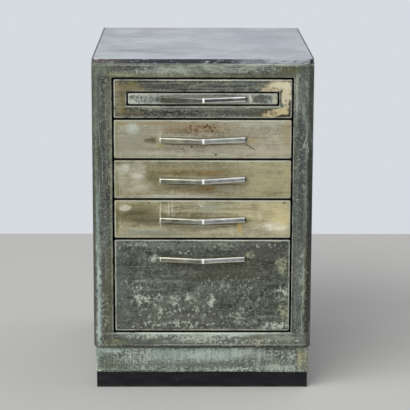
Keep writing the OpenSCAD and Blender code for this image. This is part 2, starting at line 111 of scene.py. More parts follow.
class Shade:
    """A node material whose patterns follow the piece's own coordinates."""

    def __init__(self, name, roughness=0.5, metallic=0.0, gloss=0.5):
        self.material = bpy.data.materials.new(name)
        self.material.use_nodes = True
        self.tree = self.material.node_tree
        self.shader = self.tree.nodes["Principled BSDF"]
        self.shader.inputs["Roughness"].default_value = roughness
        self.shader.inputs["Metallic"].default_value = metallic
        self.shader.inputs["Specular IOR Level"].default_value = gloss
        self.place = self.node("TexCoord").outputs["Object"]
        self.xyz = self.node("SeparateXYZ", [self.place]).outputs
        self.colour = None

    def node(self, kind, inputs=(), **settings):
        return add_node(self.tree, kind, inputs, **settings)

    def math(self, operation, *values):
        return self.node("Math", values, operation=operation).outputs[0]

    def vector(self, operation, *values):
        made = self.node("VectorMath", values, operation=operation)
        return made.outputs["Value" if operation == "LENGTH" else "Vector"]

    def upright(self, x, z):
        """The place (x, 0, z)."""
        return self.node("CombineXYZ", [x, 0.0, z]).outputs[0]

    def turned(self, place, axis, degrees):
        return self.node("VectorRotate", [place, None, None, radians(degrees)],
                         rotation_type=axis + "_AXIS").outputs[0]

    def step(self, value, low, high):
        """0 below low, 1 above high, smooth between; low may lie above high."""
        flip = float(low > high)
        return self.node("MapRange", [value, min(low, high), max(low, high), flip, 1 - flip],
                         interpolation_type="SMOOTHSTEP").outputs["Result"]

    def noise(self, scale, detail, roughness, shift=0.0, place=None, output="Fac"):
        """Noise with `scale` waves a metre, as one number or one for each axis."""
        scale = (scale,) * 3 if isinstance(scale, (int, float)) else scale
        where = self.vector("MULTIPLY", place or self.place, scale)
        if shift:
            where = self.vector("ADD", where, (shift, shift * 0.7, -shift))
        return self.node("TexNoise", [where, None, 1.0, detail, roughness]).outputs[output]

    def mix(self, share, a, b):
        return self.node("Mix", [share, *[None] * 5, a, b], data_type="RGBA",
                         clamp_factor=True).outputs[2]

    def coat(self, share, tint, strength=None):
        """Lays a tint over the colour so far."""
        if strength is not None:
            share = self.math("MULTIPLY", share, strength)
        self.colour = self.mix(share, self.colour, tint)

    def scaled(self, value, factor, add=0.0):
        return self.math("MULTIPLY_ADD", value, factor, add)

    def total(self, *terms, add=0.0):
        """Sum of values, each times its weight."""
        result = add
        for value, weight in terms:
            result = self.scaled(value, weight, result)
        return result

    def patch(self, place, x, z, half_w, half_h, soft, tilt=0.0):
        """1 inside an oval round (x, z), in millimetres, fading out across its edge."""
        off = self.vector("SUBTRACT", place, (x * MM, 0, z * MM))
        if tilt:
            off = self.turned(off, "Y", tilt)
        off = self.vector("MULTIPLY", off, (1 / (half_w * MM), 0, 1 / (half_h * MM)))
        return self.step(self.vector("LENGTH", off), 1 + soft, 1 - soft)

    def rim(self, low_x, high_x, low_z, high_z, width, place=None):
        """1 on a rectangle's outline, fading to 0 at `width` from it, inside and outside."""
        middle = ((low_x + high_x) / 2, 0, (low_z + high_z) / 2)
        half = ((high_x - low_x) / 2, 1, (high_z - low_z) / 2)
        off = self.vector("ABSOLUTE", self.vector("SUBTRACT", place or self.place, middle))
        off = self.node("SeparateXYZ", [self.vector("SUBTRACT", off, half)]).outputs
        away = self.math("ABSOLUTE", self.math("MAXIMUM", off[0], off[2]))
        return self.step(away, width, width * 0.25)

    def finish(self, bump=None, depth=0.0, roughness=None, metallic=None):
        if bump is not None:
            bump = self.node("Bump", [1.0, depth, None, bump]).outputs["Normal"]
        for key, value in (("Base Color", self.colour), ("Roughness", roughness),
                           ("Metallic", metallic), ("Normal", bump)):
            feed(self.tree, self.shader.inputs[key], value)
        return self.material


# ---- worn paint ----
CHIP, FLECKS = "chip", "flecks"
BARE = 0xb2b4a4
# painted shade for the folded faces that lie inside the gaps
GAP_SHADE = 0x0b0a06
PAINT_GLOSS = 0.35
GRAINS = {"x": ((5, 12, 14), (17, 30, 125), (9, 40, 270)),      # waves a metre, broad to fine
          "z": ((14, 12, 5), (125, 30, 17), (270, 40, 9))}
RAGGED = 75                 # waves a metre of the marks' ragged edges
FRONT_LOOSE, FRONT_TIGHT = (0.024, 0.018), (0.007, 0.004)       # how far the edges stray
SIDE_LOOSE, SIDE_TIGHT = (0.03, 0.03), (0.004, 0.004)
SMALL_MARK = 4              # millimetres; edges of smaller marks stray less
OUT_OF_SIGHT = 9.0          # metres; where the marks' pattern goes on faces without marks
SIDE_SHIFT = 0.3            # how far the sides' marks move apart, as a share of x
SIDE_CALM = 0.62            # how much weaker the grain is on the sides


def worn_paint(name, tones, grain, marks=((), ()), chips=0.5, rims=(), shift=0.0, roughness=0.5,
               grime=0.5, streaks=1.0, pocket=None, speck_scale=120, grain_depth=0.8,
               marks_d=34, sides=None):
    """Old paint, brushed along `grain`, chipped to a pale coat and bare at its folds.

    tones are its dark, middle, light and chip colours. marks are its soft marks, drawn below,
    and its spots, drawn above, all in millimetres and on the front only. A soft mark is (x, z,
    half width, half height, colour, strength) and may end with a tilt, and a spot is the same
    behind its kind. A rim is (low x, high x, low z, high z, width, strength). shift moves the
    noises. pocket says which folded faces lie inside the gaps; these get a painted shade, near
    black. marks_d is how far behind the front the marks reach. sides holds the marks of the
    outer sides, with y in the place of x."""
    dark, mid, light, pale = tones
    s = Shade(name, roughness, gloss=PAINT_GLOSS)

    def brushed(way):
        return [s.noise(scale, 4 + k, 0.6 + 0.05 * k, shift + 7 * k)
                for k, scale in enumerate(GRAINS[way])]

    if grain == "both":
        rail = s.step(s.math("ABSOLUTE", s.xyz[0]), OPEN_HALF + 18 * MM, OPEN_HALF - 8 * MM)
        cloud, drag, streak = [s.scaled(s.math("SUBTRACT", flat, upright), rail, upright)
                               for flat, upright in zip(brushed("x"), brushed("z"))]
    else:
        cloud, drag, streak = brushed(grain)
    mottle = s.noise(46, 6, 0.7, shift + 3)
    speck = s.noise(speck_scale, 8, 0.74, shift + 5)
    grit = s.noise(210, 5, 0.75, shift + 13)
    cluster = s.noise(15, 3, 0.6, shift + 9)
    fine = s.noise(430, 3, 0.6, shift + 11)
    warp = s.vector("SUBTRACT", s.noise(RAGGED, 5, 0.7, output="Color"), (0.5,) * 3)

    def layer(marks, place, loose, tight):
        """Marks and their places: strayed a lot, strayed a little and still."""
        strayed = [s.vector("ADD", place, s.vector("MULTIPLY", warp, (x, 0.0, z)))
                   for x, z in (loose, tight)]
        return *marks, *strayed, place

    depth = s.total((s.xyz[1], 1.0), (mottle, 24 * MM), add=-12 * MM)
    behind = s.math("GREATER_THAN", depth, FRONT_Y + marks_d * MM)
    front = s.vector("ADD", s.place, s.upright(0.0, s.scaled(behind, OUT_OF_SIGHT)))
    layers = [layer(marks, front, FRONT_LOOSE, FRONT_TIGHT)]
    calm, grained = 0.0, grain_depth
    if sides:
        calm = s.step(s.xyz[1], FRONT_Y + 10 * MM, FRONT_Y + 50 * MM)
        grained = s.scaled(calm, -SIDE_CALM * grain_depth, grain_depth)
        outer = s.step(s.math("ABSOLUTE", s.xyz[0]), HALF_W - 9 * MM, HALF_W - 6 * MM)
        along = s.total((s.xyz[1], 1.0), (s.xyz[0], SIDE_SHIFT))
        beside = s.upright(along, s.scaled(s.math("SUBTRACT", 1.0, outer), OUT_OF_SIGHT, s.xyz[2]))
        layers.append(layer(sides, beside, SIDE_LOOSE, SIDE_TIGHT))

    tone = s.total((cloud, 0.3), (drag, 0.36), (streak, 0.1 * streaks), (mottle, 0.26))
    middle = 0.5 * (0.92 + 0.1 * streaks)
    haze = s.total((mottle, 0.65), (cluster, 0.35))
    s.colour = dark
    s.coat(s.step(tone, middle - 0.085, middle + 0.01), mid)
    s.coat(s.step(tone, middle + 0.01, middle + 0.1), light, 0.85)
    s.coat(s.step(haze, 0.52, 0.68), light, 0.5)
    s.coat(s.step(grit, 0.5, 0.64), light, grained)
    s.coat(s.step(grit, 0.5, 0.36), dark, grained)
    s.coat(s.step(streak, 0.55, 0.72), light, 0.4 * streaks)
    s.coat(s.step(streak, 0.45, 0.3), darker(dark, 0.6), 0.5 * streaks)
    uneven = s.scaled(s.step(s.total((haze, 0.5), (drag, 0.5)), 0.42, 0.56), 0.55, 0.45)
    for soft, _, loose, tight, _ in layers:
        for x, z, half_w, half_h, tint, strength, *tilt in soft:
            place = tight if min(half_w, half_h) < SMALL_MARK else loose
            here = s.patch(place, x, z, half_w, half_h, 0.65, *tilt)
            s.coat(s.math("MULTIPLY", here, uneven), tint, strength)
    scattered = s.total((speck, 1.0), (cluster, 0.45), (calm, -0.05), add=-0.225)
    limit = 0.655 - 0.09 * chips
    chip = s.step(scattered, limit, limit + 0.1)
    s.coat(chip, pale, 0.72)
    for _, spots, loose, tight, still in layers:
        for kind, x, z, half_w, half_h, tint, strength, *tilt in spots:
            if kind == FLECKS:
                here = s.patch(loose, x, z, half_w, half_h, 0.6, *tilt)
                here = s.step(s.total((speck, 1.0), (here, 0.17 * strength)), 0.645, 0.75)
                near = s.patch(still, x, z, half_w * 1.5, half_h * 1.5, 0.4, *tilt)
                s.coat(s.math("MULTIPLY", here, s.scaled(near, 0.8)), tint)
            else:
                place = tight if min(half_w, half_h) < SMALL_MARK else loose
                s.coat(s.patch(place, x, z, half_w, half_h, 0.22, *tilt), tint, strength)
    dirt = s.total((fine, 0.4), (speck, 0.35), (drag, 0.25))
    s.coat(s.step(dirt, 0.44, 0.36), darker(dark, 0.5), grime)

    worn = [(s.rim(*edges, width), 0.52 - 0.16 * strength, 0.54)
            for *edges, width, strength in rims]
    if rims and sides:
        worn.append((s.rim(FRONT_Y, BACK_Y - 2 * MM + SIDE_SHIFT * HALF_W, CASE_BOTTOM + 2 * MM,
                           CASE_TOP - 2.5 * MM, 3 * MM, beside), 0.44, 0.56))
    bare = None
    for here, low, high in worn:
        here = s.math("MULTIPLY", here, s.step(haze, low, high))
        bare = here if bare is None else s.math("MAXIMUM", bare, here)
    if bare is not None:
        s.coat(bare, BARE, 0.8)
    # Painted shade: the folded faces set back inside the gaps go near black.
    if pocket:
        deep = s.scaled(s.step(s.xyz[1], FRONT_Y + 0.45 * MM, FRONT_Y + 1.7 * MM), 0.96)
        if pocket == "opening":
            off = (s.xyz[0], OPEN_HALF), (s.scaled(s.xyz[2], 1, -OPEN_MIDDLE), OPEN_HALF_TALL)
            inside = [s.step(s.math("ABSOLUTE", value), half + 3 * MM, half + 1.5 * MM)
                      for value, half in off]
            deep = s.math("MULTIPLY", deep, s.math("MULTIPLY", *inside))
        s.coat(deep, GAP_SHADE)
    rough = s.total((mottle, 0.3), (chip, 0.08), add=roughness - 0.15)
    bump = s.total((fine, 0.4), (streak, 0.5), (chip, 0.7), (mottle, 0.5), (drag, 0.6))
    return s.finish(bump, 0.14 * MM, rough)


# ---- meshes ----
def in_scene(name, data):
    thing = bpy.data.objects.new(name, data)
    bpy.context.scene.collection.objects.link(thing)
    return thing


def new_piece(name, verts, faces, material, body="cabinet", slot=None, replaces=(), smooth=35):
    mesh = bpy.data.meshes.new(name)
    mesh.from_pydata(verts, [], faces)
    mesh.validate()
    mesh.materials.append(material)
    piece = in_scene(name, mesh)
    mesh.shade_smooth()
    mesh.set_sharp_from_angle(angle=radians(smooth))
    flats = piece.modifiers.new("even_shading", "WEIGHTED_NORMAL")
    flats.keep_sharp = True
    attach(piece, body)
    if replaces:
        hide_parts(*replaces)
    return piece


def outward_mesh(verts, faces, thickness=0.0):
    """The same mesh, thickened if asked, with every face turned outwards.

    Thickening puts the faces in another order each run, so they are sorted after it."""
    bm = bmesh.new()
    made = [bm.verts.new(v) for v in verts]
    for face in faces:
        bm.faces.new([made[k] for k in face])
    if thickness:
        bm.normal_update()
        bmesh.ops.solidify(bm, geom=bm.faces[:], thickness=thickness)
    bmesh.ops.recalc_face_normals(bm, faces=bm.faces[:])
    bm.verts.index_update()
    verts, faces = [v.co.copy() for v in bm.verts], [[v.index for v in f.verts] for f in bm.faces]
    bm.free()
    return verts, sorted(faces) if thickness else faces


def spaced(low, high, cell, stops=()):
    """Grid lines from low to high, about `cell` apart, with one at each stop."""
    marks = sorted({round(m, 6) for m in (low, high, *stops) if low <= m <= high})
    lines = []
    for a, b in zip(marks, marks[1:]):
        count = max(1, ceil((b - a) / cell - 0.01))
        lines += [a + (b - a) * i / count for i in range(count)]
    return lines + [marks[-1]]


def corner_stops(low, high, radius, steps=4):
    """Grid lines through the corner squares at both ends."""
    near = [radius * (1 - cos(pi / 2 * i / steps)) for i in range(steps + 1)] if radius else []
    return [low + n for n in near] + [high - n for n in near]


def folded_sheet(us, vs, radius_low, radius_high, fold_r, depth, thickness, to_world,
                 hole=None, hole_r=0.0, hole_depth=0.0, press=None):
    """A flat sheet over the grid (us, vs), folded back along its border and round a hole.

    Its corners have radius_low on the low side of v and radius_high on the high side. press
    is a function of (u, v, w) that returns how much deeper a point lies."""
    u0, u1, v0, v1 = us[0], us[-1], vs[0], vs[-1]
    points, faces = [], []

    def bent(u, v):
        radius = radius_low if v < (v0 + v1) / 2 else radius_high
        cu = min(max(u, u0 + radius), u1 - radius)
        cv = min(max(v, v0 + radius), v1 - radius)
        du, dv = u - cu, v - cv
        if abs(du) > 1e-9 and abs(dv) > 1e-9:
            reach = hypot(du, dv)
            f = max(abs(du), abs(dv)) / reach
            return cu + du * f, cv + dv * f, (du / reach, dv / reach)
        out_u = (u >= u1 - 1e-9) - (u <= u0 + 1e-9)
        out_v = (v >= v1 - 1e-9) - (v <= v0 + 1e-9)
        if abs(du) > 1e-9:
            out_v = 0
        if abs(dv) > 1e-9:
            out_u = 0
        return u, v, (out_u, out_v)

    def add(u, v, w):
        points.append((u, v, w))
        return len(points) - 1

    index, outward = {}, {}
    for i, u in enumerate(us):
        for j, v in enumerate(vs):
            bu, bv, out = bent(u, v)
            index[i, j] = add(bu, bv, 0.0)
            outward[index[i, j]] = out

    def in_hole(i, j):
        if not hole:
            return False
        u, v = (us[i] + us[i + 1]) / 2, (vs[j] + vs[j + 1]) / 2
        return hole[0] < u < hole[1] and hole[2] < v < hole[3]

    for i in range(len(us) - 1):
        for j in range(len(vs) - 1):
            if not in_hole(i, j):
                faces.append((index[i, j], index[i + 1, j], index[i + 1, j + 1], index[i, j + 1]))

    def skirt(loop, directions, radius, reach):
        turns = [pi / 2 * k / 5 for k in range(1, 6)]
        profile = [(radius * sin(a), radius * (1 - cos(a))) for a in turns]
        profile += [(radius, radius + (reach - radius) * k / 2) for k in (1, 2)]
        last = loop
        for out, w in profile:
            ring = []
            for start, (du, dv) in zip(loop, directions):
                u, v, _ = points[start]
                ring.append(add(u + du * out, v + dv * out, w))
            for k in range(len(loop)):
                n = (k + 1) % len(loop)
                faces.append((ring[k], ring[n], last[n], last[k]))
            last = ring

    nu, nv = len(us) - 1, len(vs) - 1
    border = [index[i, 0] for i in range(nu)] + [index[nu, j] for j in range(nv)]
    border += [index[i, nv] for i in range(nu, 0, -1)] + [index[0, j] for j in range(nv, 0, -1)]
    skirt(border, [outward[p] for p in border], fold_r, depth)
    if hole:
        left, right = us.index(hole[0]), us.index(hole[1])
        low, high = vs.index(hole[2]), vs.index(hole[3])
        loop = [(left, j, (1, (j == low) - (j == high))) for j in range(low, high)]
        loop += [(i, high, ((i == left) - (i == right), -1)) for i in range(left, right)]
        loop += [(right, j, (-1, (j == low) - (j == high))) for j in range(high, low, -1)]
        loop += [(i, low, ((i == left) - (i == right), 1)) for i in range(right, left, -1)]
        skirt([index[i, j] for i, j, _ in loop], [d for _, _, d in loop], hole_r, hole_depth)
    if press:
        points = [(u, v, w + press(u, v, w)) for u, v, w in points]
    return outward_mesh([to_world(*p) for p in points], faces, thickness)


def section_path(corners, radii, cell, arc_steps=6):
    """Points and left-hand normals along a polyline whose inner corners are rounded."""
    path = []
    last = Vector(corners[0])
    for k, corner in enumerate(corners[1:], 1):
        here = Vector(corner)
        step = (here - last).normalized()
        radius = radii[k - 1] if k < len(corners) - 1 else 0.0
        stop = here - step * radius
        count = max(1, ceil((stop - last).length / cell))
        normal = Vector((-step.y, step.x))
        path += [(last.lerp(stop, i / count), normal) for i in range(count)]
        path.append((stop, normal))
        if k < len(corners) - 1:
            after = (Vector(corners[k + 1]) - here).normalized()
            turn = 1 if step.cross(after) > 0 else -1
            centre = stop + normal * radius * turn
            for i in range(1, arc_steps + 1):
                spin = Matrix.Rotation(turn * pi / 2 * i / arc_steps, 2)
                path.append((centre + spin @ (stop - centre), spin @ normal))
            last = path.pop()[0]
    return path


def swept_sheet(path, thickness, stations, to_world, press=None):
    """A sheet with the given section, extruded through the stations and closed at its ends."""
    outer = [p for p, _ in path]
    inner = [p + n * thickness for p, n in path]
    count = len(path)
    verts, faces = [], []
    for t in stations:
        for p, q in zip(outer, inner):
            shift = press(*to_world(p.x, p.y, t)) if press else Vector()
            verts.append(Vector(to_world(p.x, p.y, t)) + shift)
            verts.append(Vector(to_world(q.x, q.y, t)) + shift)
    row = 2 * count
    for k in range(len(stations) - 1):
        base = k * row
        for i in range(count - 1):
            a, b = base + 2 * i, base + 2 * i + 2
            faces.append((a, b, b + row, a + row))
            faces.append((b + 1, a + 1, a + 1 + row, b + 1 + row))
        faces.append((base + 1, base, base + row, base + 1 + row))
        end = base + 2 * (count - 1)
        faces.append((end, end + 1, end + 1 + row, end + row))
    top = (len(stations) - 1) * row
    for i in range(count - 1):
        a, b = 2 * i, 2 * i + 2
        faces.append((a, a + 1, b + 1, b))
        faces.append((top + a, top + b, top + b + 1, top + a + 1))
    return outward_mesh(verts, faces)


def bump_at(value, middle, width):
    return exp(-(((value - middle) / width) ** 2))


# ---- paints of the casing ----
OPENING = (-OPEN_HALF, OPEN_HALF, OPEN_BOTTOM, OPEN_TOP)
MINT = 0x9ea694
PALE_BLUE = 0x9aa8a2
CASING_TONES = 0x23261f, 0x4a4e44, 0x888d80, 0xaeb3a3

# The marks of each paint: the soft ones, then the spots.
CASING_MARKS = ([
    # left stile
    # the dark line at x -251, on the rounded corner's outer part, is painted shade; the light
    # stripe inside it, at x -244 to -240.5, is a painted highlight in the paint's varying tints
    (-251, 430, 3.5, 400, 0x383c30, 0.95), (-244, 620, 3.4, 150, 0x687056, 0.5),
    (-233, 700, 3, 60, 0x788072, 0.7), (-242.5, 400, 3, 90, 0x788682, 0.8),
    (-240.5, 205, 4.2, 130, 0xa4b4ae, 1.0), (-240, 690, 4, 90, 0x525648, 0.7),
    (-231, 560, 8, 210, 0x3e433a, 0.85), (-230, 240, 3.5, 90, 0x4a4f46, 0.9),
    (-219, 220, 7, 100, 0x58563c, 0.8), (-212, 240, 2.2, 110, 0x3e3e2e, 0.9),
    (-216, 660, 7, 70, 0x686654, 0.7), (-210, 430, 2.0, 330, 0x8a8a74, 0.8),
    (-222, 760, 18, 12, 0x889682, 0.6, 30),
    # right stile
    # the dark bands at x 245.5 and 254, along the rounded corner, are painted shade
    (245.5, 430, 5.5, 400, 0x323322, 1.15), (254, 430, 5.5, 460, 0x14140f, 1.3),
    (213.5, 690, 3, 55, 0xa8ae9e, 1.0), (212, 400, 3.6, 230, 0x4e534a, 0.8),
    (226, 400, 14, 120, 0x6c726a, 0.6), (222, 705, 7, 30, 0x868e84, 0.7, -8),
    (216, 200, 3, 60, 0x72786c, 0.7), (226, 520, 6, 240, 0x3e4444, 0.95),
    (226, 220, 6, 110, 0x5c6864, 0.8), (238, 450, 2.4, 190, 0x7e867a, 0.8),
    (234, 250, 2.6, 60, 0x929a8c, 0.8), (236, 640, 6, 50, 0x848e80, 0.7, 12),
    # top rail
    # the light lines at z 762 to 766.3, below the worktop, are worn paint and painted highlight
    (0, 765, 232, 1.8, 0x949c8e, 1.0), (135, 766.3, 92, 1.2, 0xbac0b4, 1.2),
    (30, 762, 130, 1.3, 0x9ca394, 0.9), (178, 758.5, 46, 2.4, 0x464a3e, 1.0),
    (-188, 759.5, 38, 2.2, 0x46483c, 0.9), (-180, 757, 46, 4, 0x4a473f, 0.8),
    (-70, 758, 46, 4, 0x565850, 0.8), (-40, 750, 90, 9, 0x828a7c, 0.8),
    (-66, 756, 40, 6, 0x98a092, 0.8), (34, 755, 34, 7, 0x9ca396, 0.8, -10),
    (128, 742, 80, 4, 0x484a3a, 0.6), (82, 754, 30, 5, 0x969e90, 0.8),
    (-90, 748, 16, 6, 0x969d8c, 0.7, 20), (-30, 741, 180, 3, 0x707050, 0.8),
    (195, 752, 26, 8, 0x545234, 0.9), (-185, 744, 30, 4, 0x949676, 0.8),
    # bottom rail
    # the light lines at z 132 and 133.4, along the rail's upturned fold, are worn paint and
    # painted highlight
    (40, 120, 190, 13, 0x848b7f, 0.6), (0, 132, 190, 3.5, 0x98a192, 1.0),
    (-5, 133.4, 168, 1.3, 0xd6dece, 1.4), (0, 110, 230, 3, 0x606458, 0.7),
    (10, 105.6, 235, 1.4, 0x98a092, 0.9), (190, 122, 40, 6, 0x929888, 0.8),
    (82, 129, 22, 4, 0xb4c0b4, 1.0), (124, 114, 40, 11, 0x64624e, 0.7),
    (-150, 112, 50, 7, 0x545a50, 0.8), (20, 113, 60, 4, 0x4c5046, 0.8, 3),
    (-120, 124, 20, 5, 0x848a70, 0.8), (-70, 119, 26, 4, 0x4e504a, 0.8),
    # painted shade along the casing's lower edge, over the plinth
    (0, 101.2, 250, 1.3, 0x282a22, 1.0),
], [
    # left stile
    (FLECKS, -226, 690, 16, 60, MINT, 0.45), (CHIP, -221, 640, 0.9, 50, 0x80867a, 0.5, 1),
    (CHIP, -236, 600, 1.0, 40, 0x8c9690, 0.6, 3), (CHIP, -230, 520, 0.9, 46, 0x848e88, 0.6, -2),
    (FLECKS, -228, 190, 12, 60, MINT, 0.9), (FLECKS, -232, 400, 10, 120, PALE_BLUE, 0.6),
    # right stile
    (FLECKS, 226, 470, 14, 160, MINT, 0.7), (CHIP, 234, 590, 1.2, 22, 0xa6aea0, 0.7, -18),
    (CHIP, 241, 574, 1.2, 16, 0xa6aea0, 0.7, 6), (FLECKS, 230, 585, 12, 34, MINT, 0.9),
    (FLECKS, 232, 260, 14, 110, MINT, 0.9), (CHIP, 222, 115, 4, 1.3, 0xcdd4c8, 0.9),
    (CHIP, 219, 330, 0.8, 70, 0x747c72, 0.55, 1), (CHIP, 229, 430, 0.8, 60, 0x2c302a, 0.6, -1),
    (CHIP, 232, 160, 1.0, 34, 0xa0aca0, 0.6, 2), (CHIP, -224, 320, 0.9, 60, 0x848e86, 0.55, -1),
    (CHIP, -217, 480, 0.8, 70, 0x32342a, 0.6, 1), (CHIP, -237, 470, 0.9, 40, 0x88948e, 0.6, 2),
    # top rail
    (CHIP, -120, 752, 60, 0.7, 0x949c8e, 0.6, 1), (CHIP, 20, 745, 80, 0.8, 0x3e4032, 0.6),
    (CHIP, 100, 758, 70, 0.7, 0xaab2a4, 0.6), (FLECKS, -60, 748, 60, 12, MINT, 0.9),
    (FLECKS, 60, 752, 90, 9, MINT, 0.8), (FLECKS, 150, 756, 50, 6, 0xb0b8a8, 0.8),
    (FLECKS, -150, 752, 50, 9, 0xa0a696, 0.8),
    # bottom rail
    (FLECKS, -60, 128, 110, 6, 0xb0baac, 1.0), (FLECKS, 60, 114, 170, 9, 0xb8c0b0, 0.9),
    (FLECKS, -130, 126, 70, 7, 0xb8c2b8, 1.1), (FLECKS, 40, 128, 60, 6, 0xccd4c8, 1.2),
    (FLECKS, 126, 108, 46, 9, 0xb4b8a4, 0.9), (FLECKS, -10, 120, 70, 11, 0xb0b8aa, 1.3),
    (FLECKS, -200, 112, 40, 10, 0x8c8c68, 0.9),
])
SIDE_MARKS = ([
    (-60, 540, 90, 110, 0x646a5e, 0.6, 12), (160, 330, 110, 90, 0x383c34, 0.6),
    (-160, 240, 60, 90, 0x6c7266, 0.5), (60, 720, 200, 22, 0x5e6456, 0.6),
    (0, 120, 260, 16, 0x686c58, 0.7),
], [
    (CHIP, 40, 470, 46, 0.9, 0x8c9486, 0.7, 24), (CHIP, -30, 300, 60, 0.8, 0x868e80, 0.6, -9),
    (CHIP, 120, 610, 30, 0.8, 0x868e80, 0.7, 62), (CHIP, -150, 410, 24, 0.8, 0x2c2e26, 0.7, -40),
    (FLECKS, -200, 140, 90, 30, MINT, 0.9), (FLECKS, 110, 128, 140, 24, MINT, 0.8),
    (FLECKS, 190, 690, 60, 60, MINT, 0.7), (FLECKS, -210, 620, 50, 90, MINT, 0.7),
    (FLECKS, 20, 430, 60, 40, PALE_BLUE, 0.6),
])
PLINTH_SIDE_MARKS = ([
    (-120, 82, 150, 14, 0x96a296, 0.7), (130, 60, 130, 14, 0x586054, 0.8),
], [
    (FLECKS, 40, 66, 240, 22, MINT, 0.8),
])

# ---- paints of the fronts and the plinth ----
RUST = 0x624226
DEEP_PALE, DEEP_KHAKI, TRAY_DARK = 0xc0c6b6, 0xa0a484, 0x3a3e38
UPPER_TONES = 0x74705a, 0x9a957e, 0xb6b19a, 0xd0cebb
MIDDLE_TONES = 0x6a6547, 0x918b6d, 0xada78c, 0xc8c6b1
TAN_TONES = 0x726c4d, 0xa19a7b, 0xbeb99f, 0xd2d0bd
DEEP_TONES = 0x282b24, 0x4b4f45, 0x7a7f72, 0xb0b6a4
FASCIA_TONES = 0x1a1c16, 0x42453a, 0x848776, 0xb4b7a4
TRAY_TONES = 0x787c72, 0xafb3a7, 0xd0d3c8, 0xdee1d6
PLINTH_TONES = 0x363d32, 0x707a6f, 0xc2cdc2, 0xd4dcd0
UPPER_MARKS = ([
    (-198, 595, 6, 42, 0x807c54, 0.95), (-165, 572, 36, 16, 0x8a8670, 0.8),
    (-158, 592, 44, 34, 0x888675, 0.7), (-160, 620, 14, 12, 0xb8c0b2, 0.9),
    # the light band at (20, 566), along the drawer's bottom, is painted light that lifts the
    # handle's cast shadow
    (20, 566, 190, 10, 0xb2ae9a, 0.75), (-186, 632, 9, 4, 0x868442, 0.85, -20),
    (-96, 632, 92, 5, 0x8c7e62, 0.85), (-68, 614, 18, 6, 0x7e624a, 0.75),
    (-10, 620, 66, 11, 0x988262, 0.7), (60, 626, 90, 3, 0x8a8268, 0.6),
    (124, 628, 44, 8, 0xb2b0a2, 0.8), (196, 606, 14, 30, 0x9c8e6a, 0.8),
    (160, 566, 40, 10, 0xb0a28c, 0.7), (-116, 591, 14, 7, 0x706a4a, 0.8),
    (-104, 572, 60, 3, 0x807a64, 0.8), (-96, 577, 7, 6, 0x949050, 0.85),
    (113, 591, 9, 9, 0xa29066, 0.8),
], [
    (FLECKS, -12, 617, 60, 12, RUST, 1.2), (FLECKS, 12, 622, 24, 13, 0x4e2e1a, 1.1),
    (FLECKS, -119, 591, 15, 8, 0x504828, 1.5), (FLECKS, -20, 566, 70, 8, 0x68644a, 0.7),
    (FLECKS, 60, 617, 14, 2.5, 0x60583c, 1.2), (CHIP, 109, 577, 15, 1.0, 0x362a18, 0.95, -35),
    (CHIP, -25, 577, 2.4, 3, 0x423c28, 0.9), (CHIP, -47, 572, 2.6, 1.8, 0x544e36, 0.9),
    (CHIP, 30, 559, 2.2, 3, 0x403a26, 0.9), (CHIP, -50, 600.5, 50, 1.1, 0xbec0aa, 0.7, -0.9),
    (CHIP, -52, 597.2, 48, 1.9, 0x7c8672, 0.75, -0.9), (CHIP, -98, 612, 0.9, 18, 0xbebca0, 0.5),
])
MIDDLE_MARKS = ([
    (-198, 500, 6, 42, 0x7a7652, 0.95), (-168, 490, 30, 30, 0x96927a, 0.7),
    (-178, 528, 26, 9, 0xc0c0b0, 0.9, 10), (-148, 516, 14, 22, 0xc4c3b2, 0.9, -30),
    (-186, 500, 10, 24, 0xacab96, 0.8), (-138, 484, 28, 8, 0xb0ae98, 0.9, 12),
    (-112, 502, 18, 16, 0x605b38, 1.0), (-60, 536, 90, 5, 0x7c785e, 0.7),
    (-30, 516, 88, 6, 0x706036, 1.05), (-60, 524, 60, 3, 0x847a54, 0.8),
    (24, 517, 26, 5, 0x8e7446, 0.8), (-20, 480, 84, 8, 0x726240, 0.95),
    (14, 480, 17, 5, 0x765a2c, 0.9), (60, 526, 60, 5, 0x8c8664, 0.6),
    (-90, 461, 100, 3.5, 0xb6b6a8, 0.8), (60, 480, 30, 8, 0x8e927c, 0.7),
    (192, 500, 10, 36, 0xaca276, 0.75), (140, 500, 66, 40, 0xa8a07a, 0.7),
], [
    (CHIP, -194, 474, 1.4, 16, 0x706a4a, 0.7), (CHIP, -188, 470, 1.2, 12, 0x706a4a, 0.6),
])
LOWER_MARKS = ([
    (-198, 408, 6, 42, 0x706a44, 0.95), (-148, 430, 36, 11, 0x66603e, 0.9),
    (-150, 414, 50, 15, 0x544f30, 1.0), (-110, 400, 40, 9, 0x4e4a2c, 0.9),
    (-140, 440, 40, 6, 0x78724e, 0.85), (-122, 376, 60, 7, 0x8e9488, 0.85),
    (-20, 388, 60, 6, 0x787450, 0.7), (20, 436, 50, 8, 0x969c84, 0.75),
    (140, 420, 80, 24, 0xc2b890, 1.0), (178, 408, 26, 30, 0xc8bb8a, 0.95),
    (0, 392, 30, 6, 0x96988a, 0.6), (164, 388, 28, 10, 0xe2dcc6, 1.2),
    (100, 377, 96, 9, 0xbcb89c, 0.9), (-100, 372, 70, 6, 0x807e66, 0.8),
], [
    (CHIP, -177, 433, 13, 7, 0xc6c2ae, 0.8), (CHIP, -97, 416, 1.4, 30, 0xc8c8b4, 0.85),
    (CHIP, -78, 431, 1.3, 17, 0xc4c4ae, 0.8, 3), (CHIP, -70, 431, 1.3, 16, 0xc4c4ae, 0.8, 4),
    (CHIP, -7, 442, 4.5, 1.6, 0xceccba, 0.8, -20), (CHIP, -1, 438, 5, 1.6, 0xceccba, 0.8, 14),
    (CHIP, 86, 388, 5.5, 17, 0xb8a468, 0.9, 4), (CHIP, -123, 446, 3, 2, 0x4c4832, 0.85),
    (CHIP, 188, 446, 3.4, 2.4, 0x3a3624, 0.85),
])
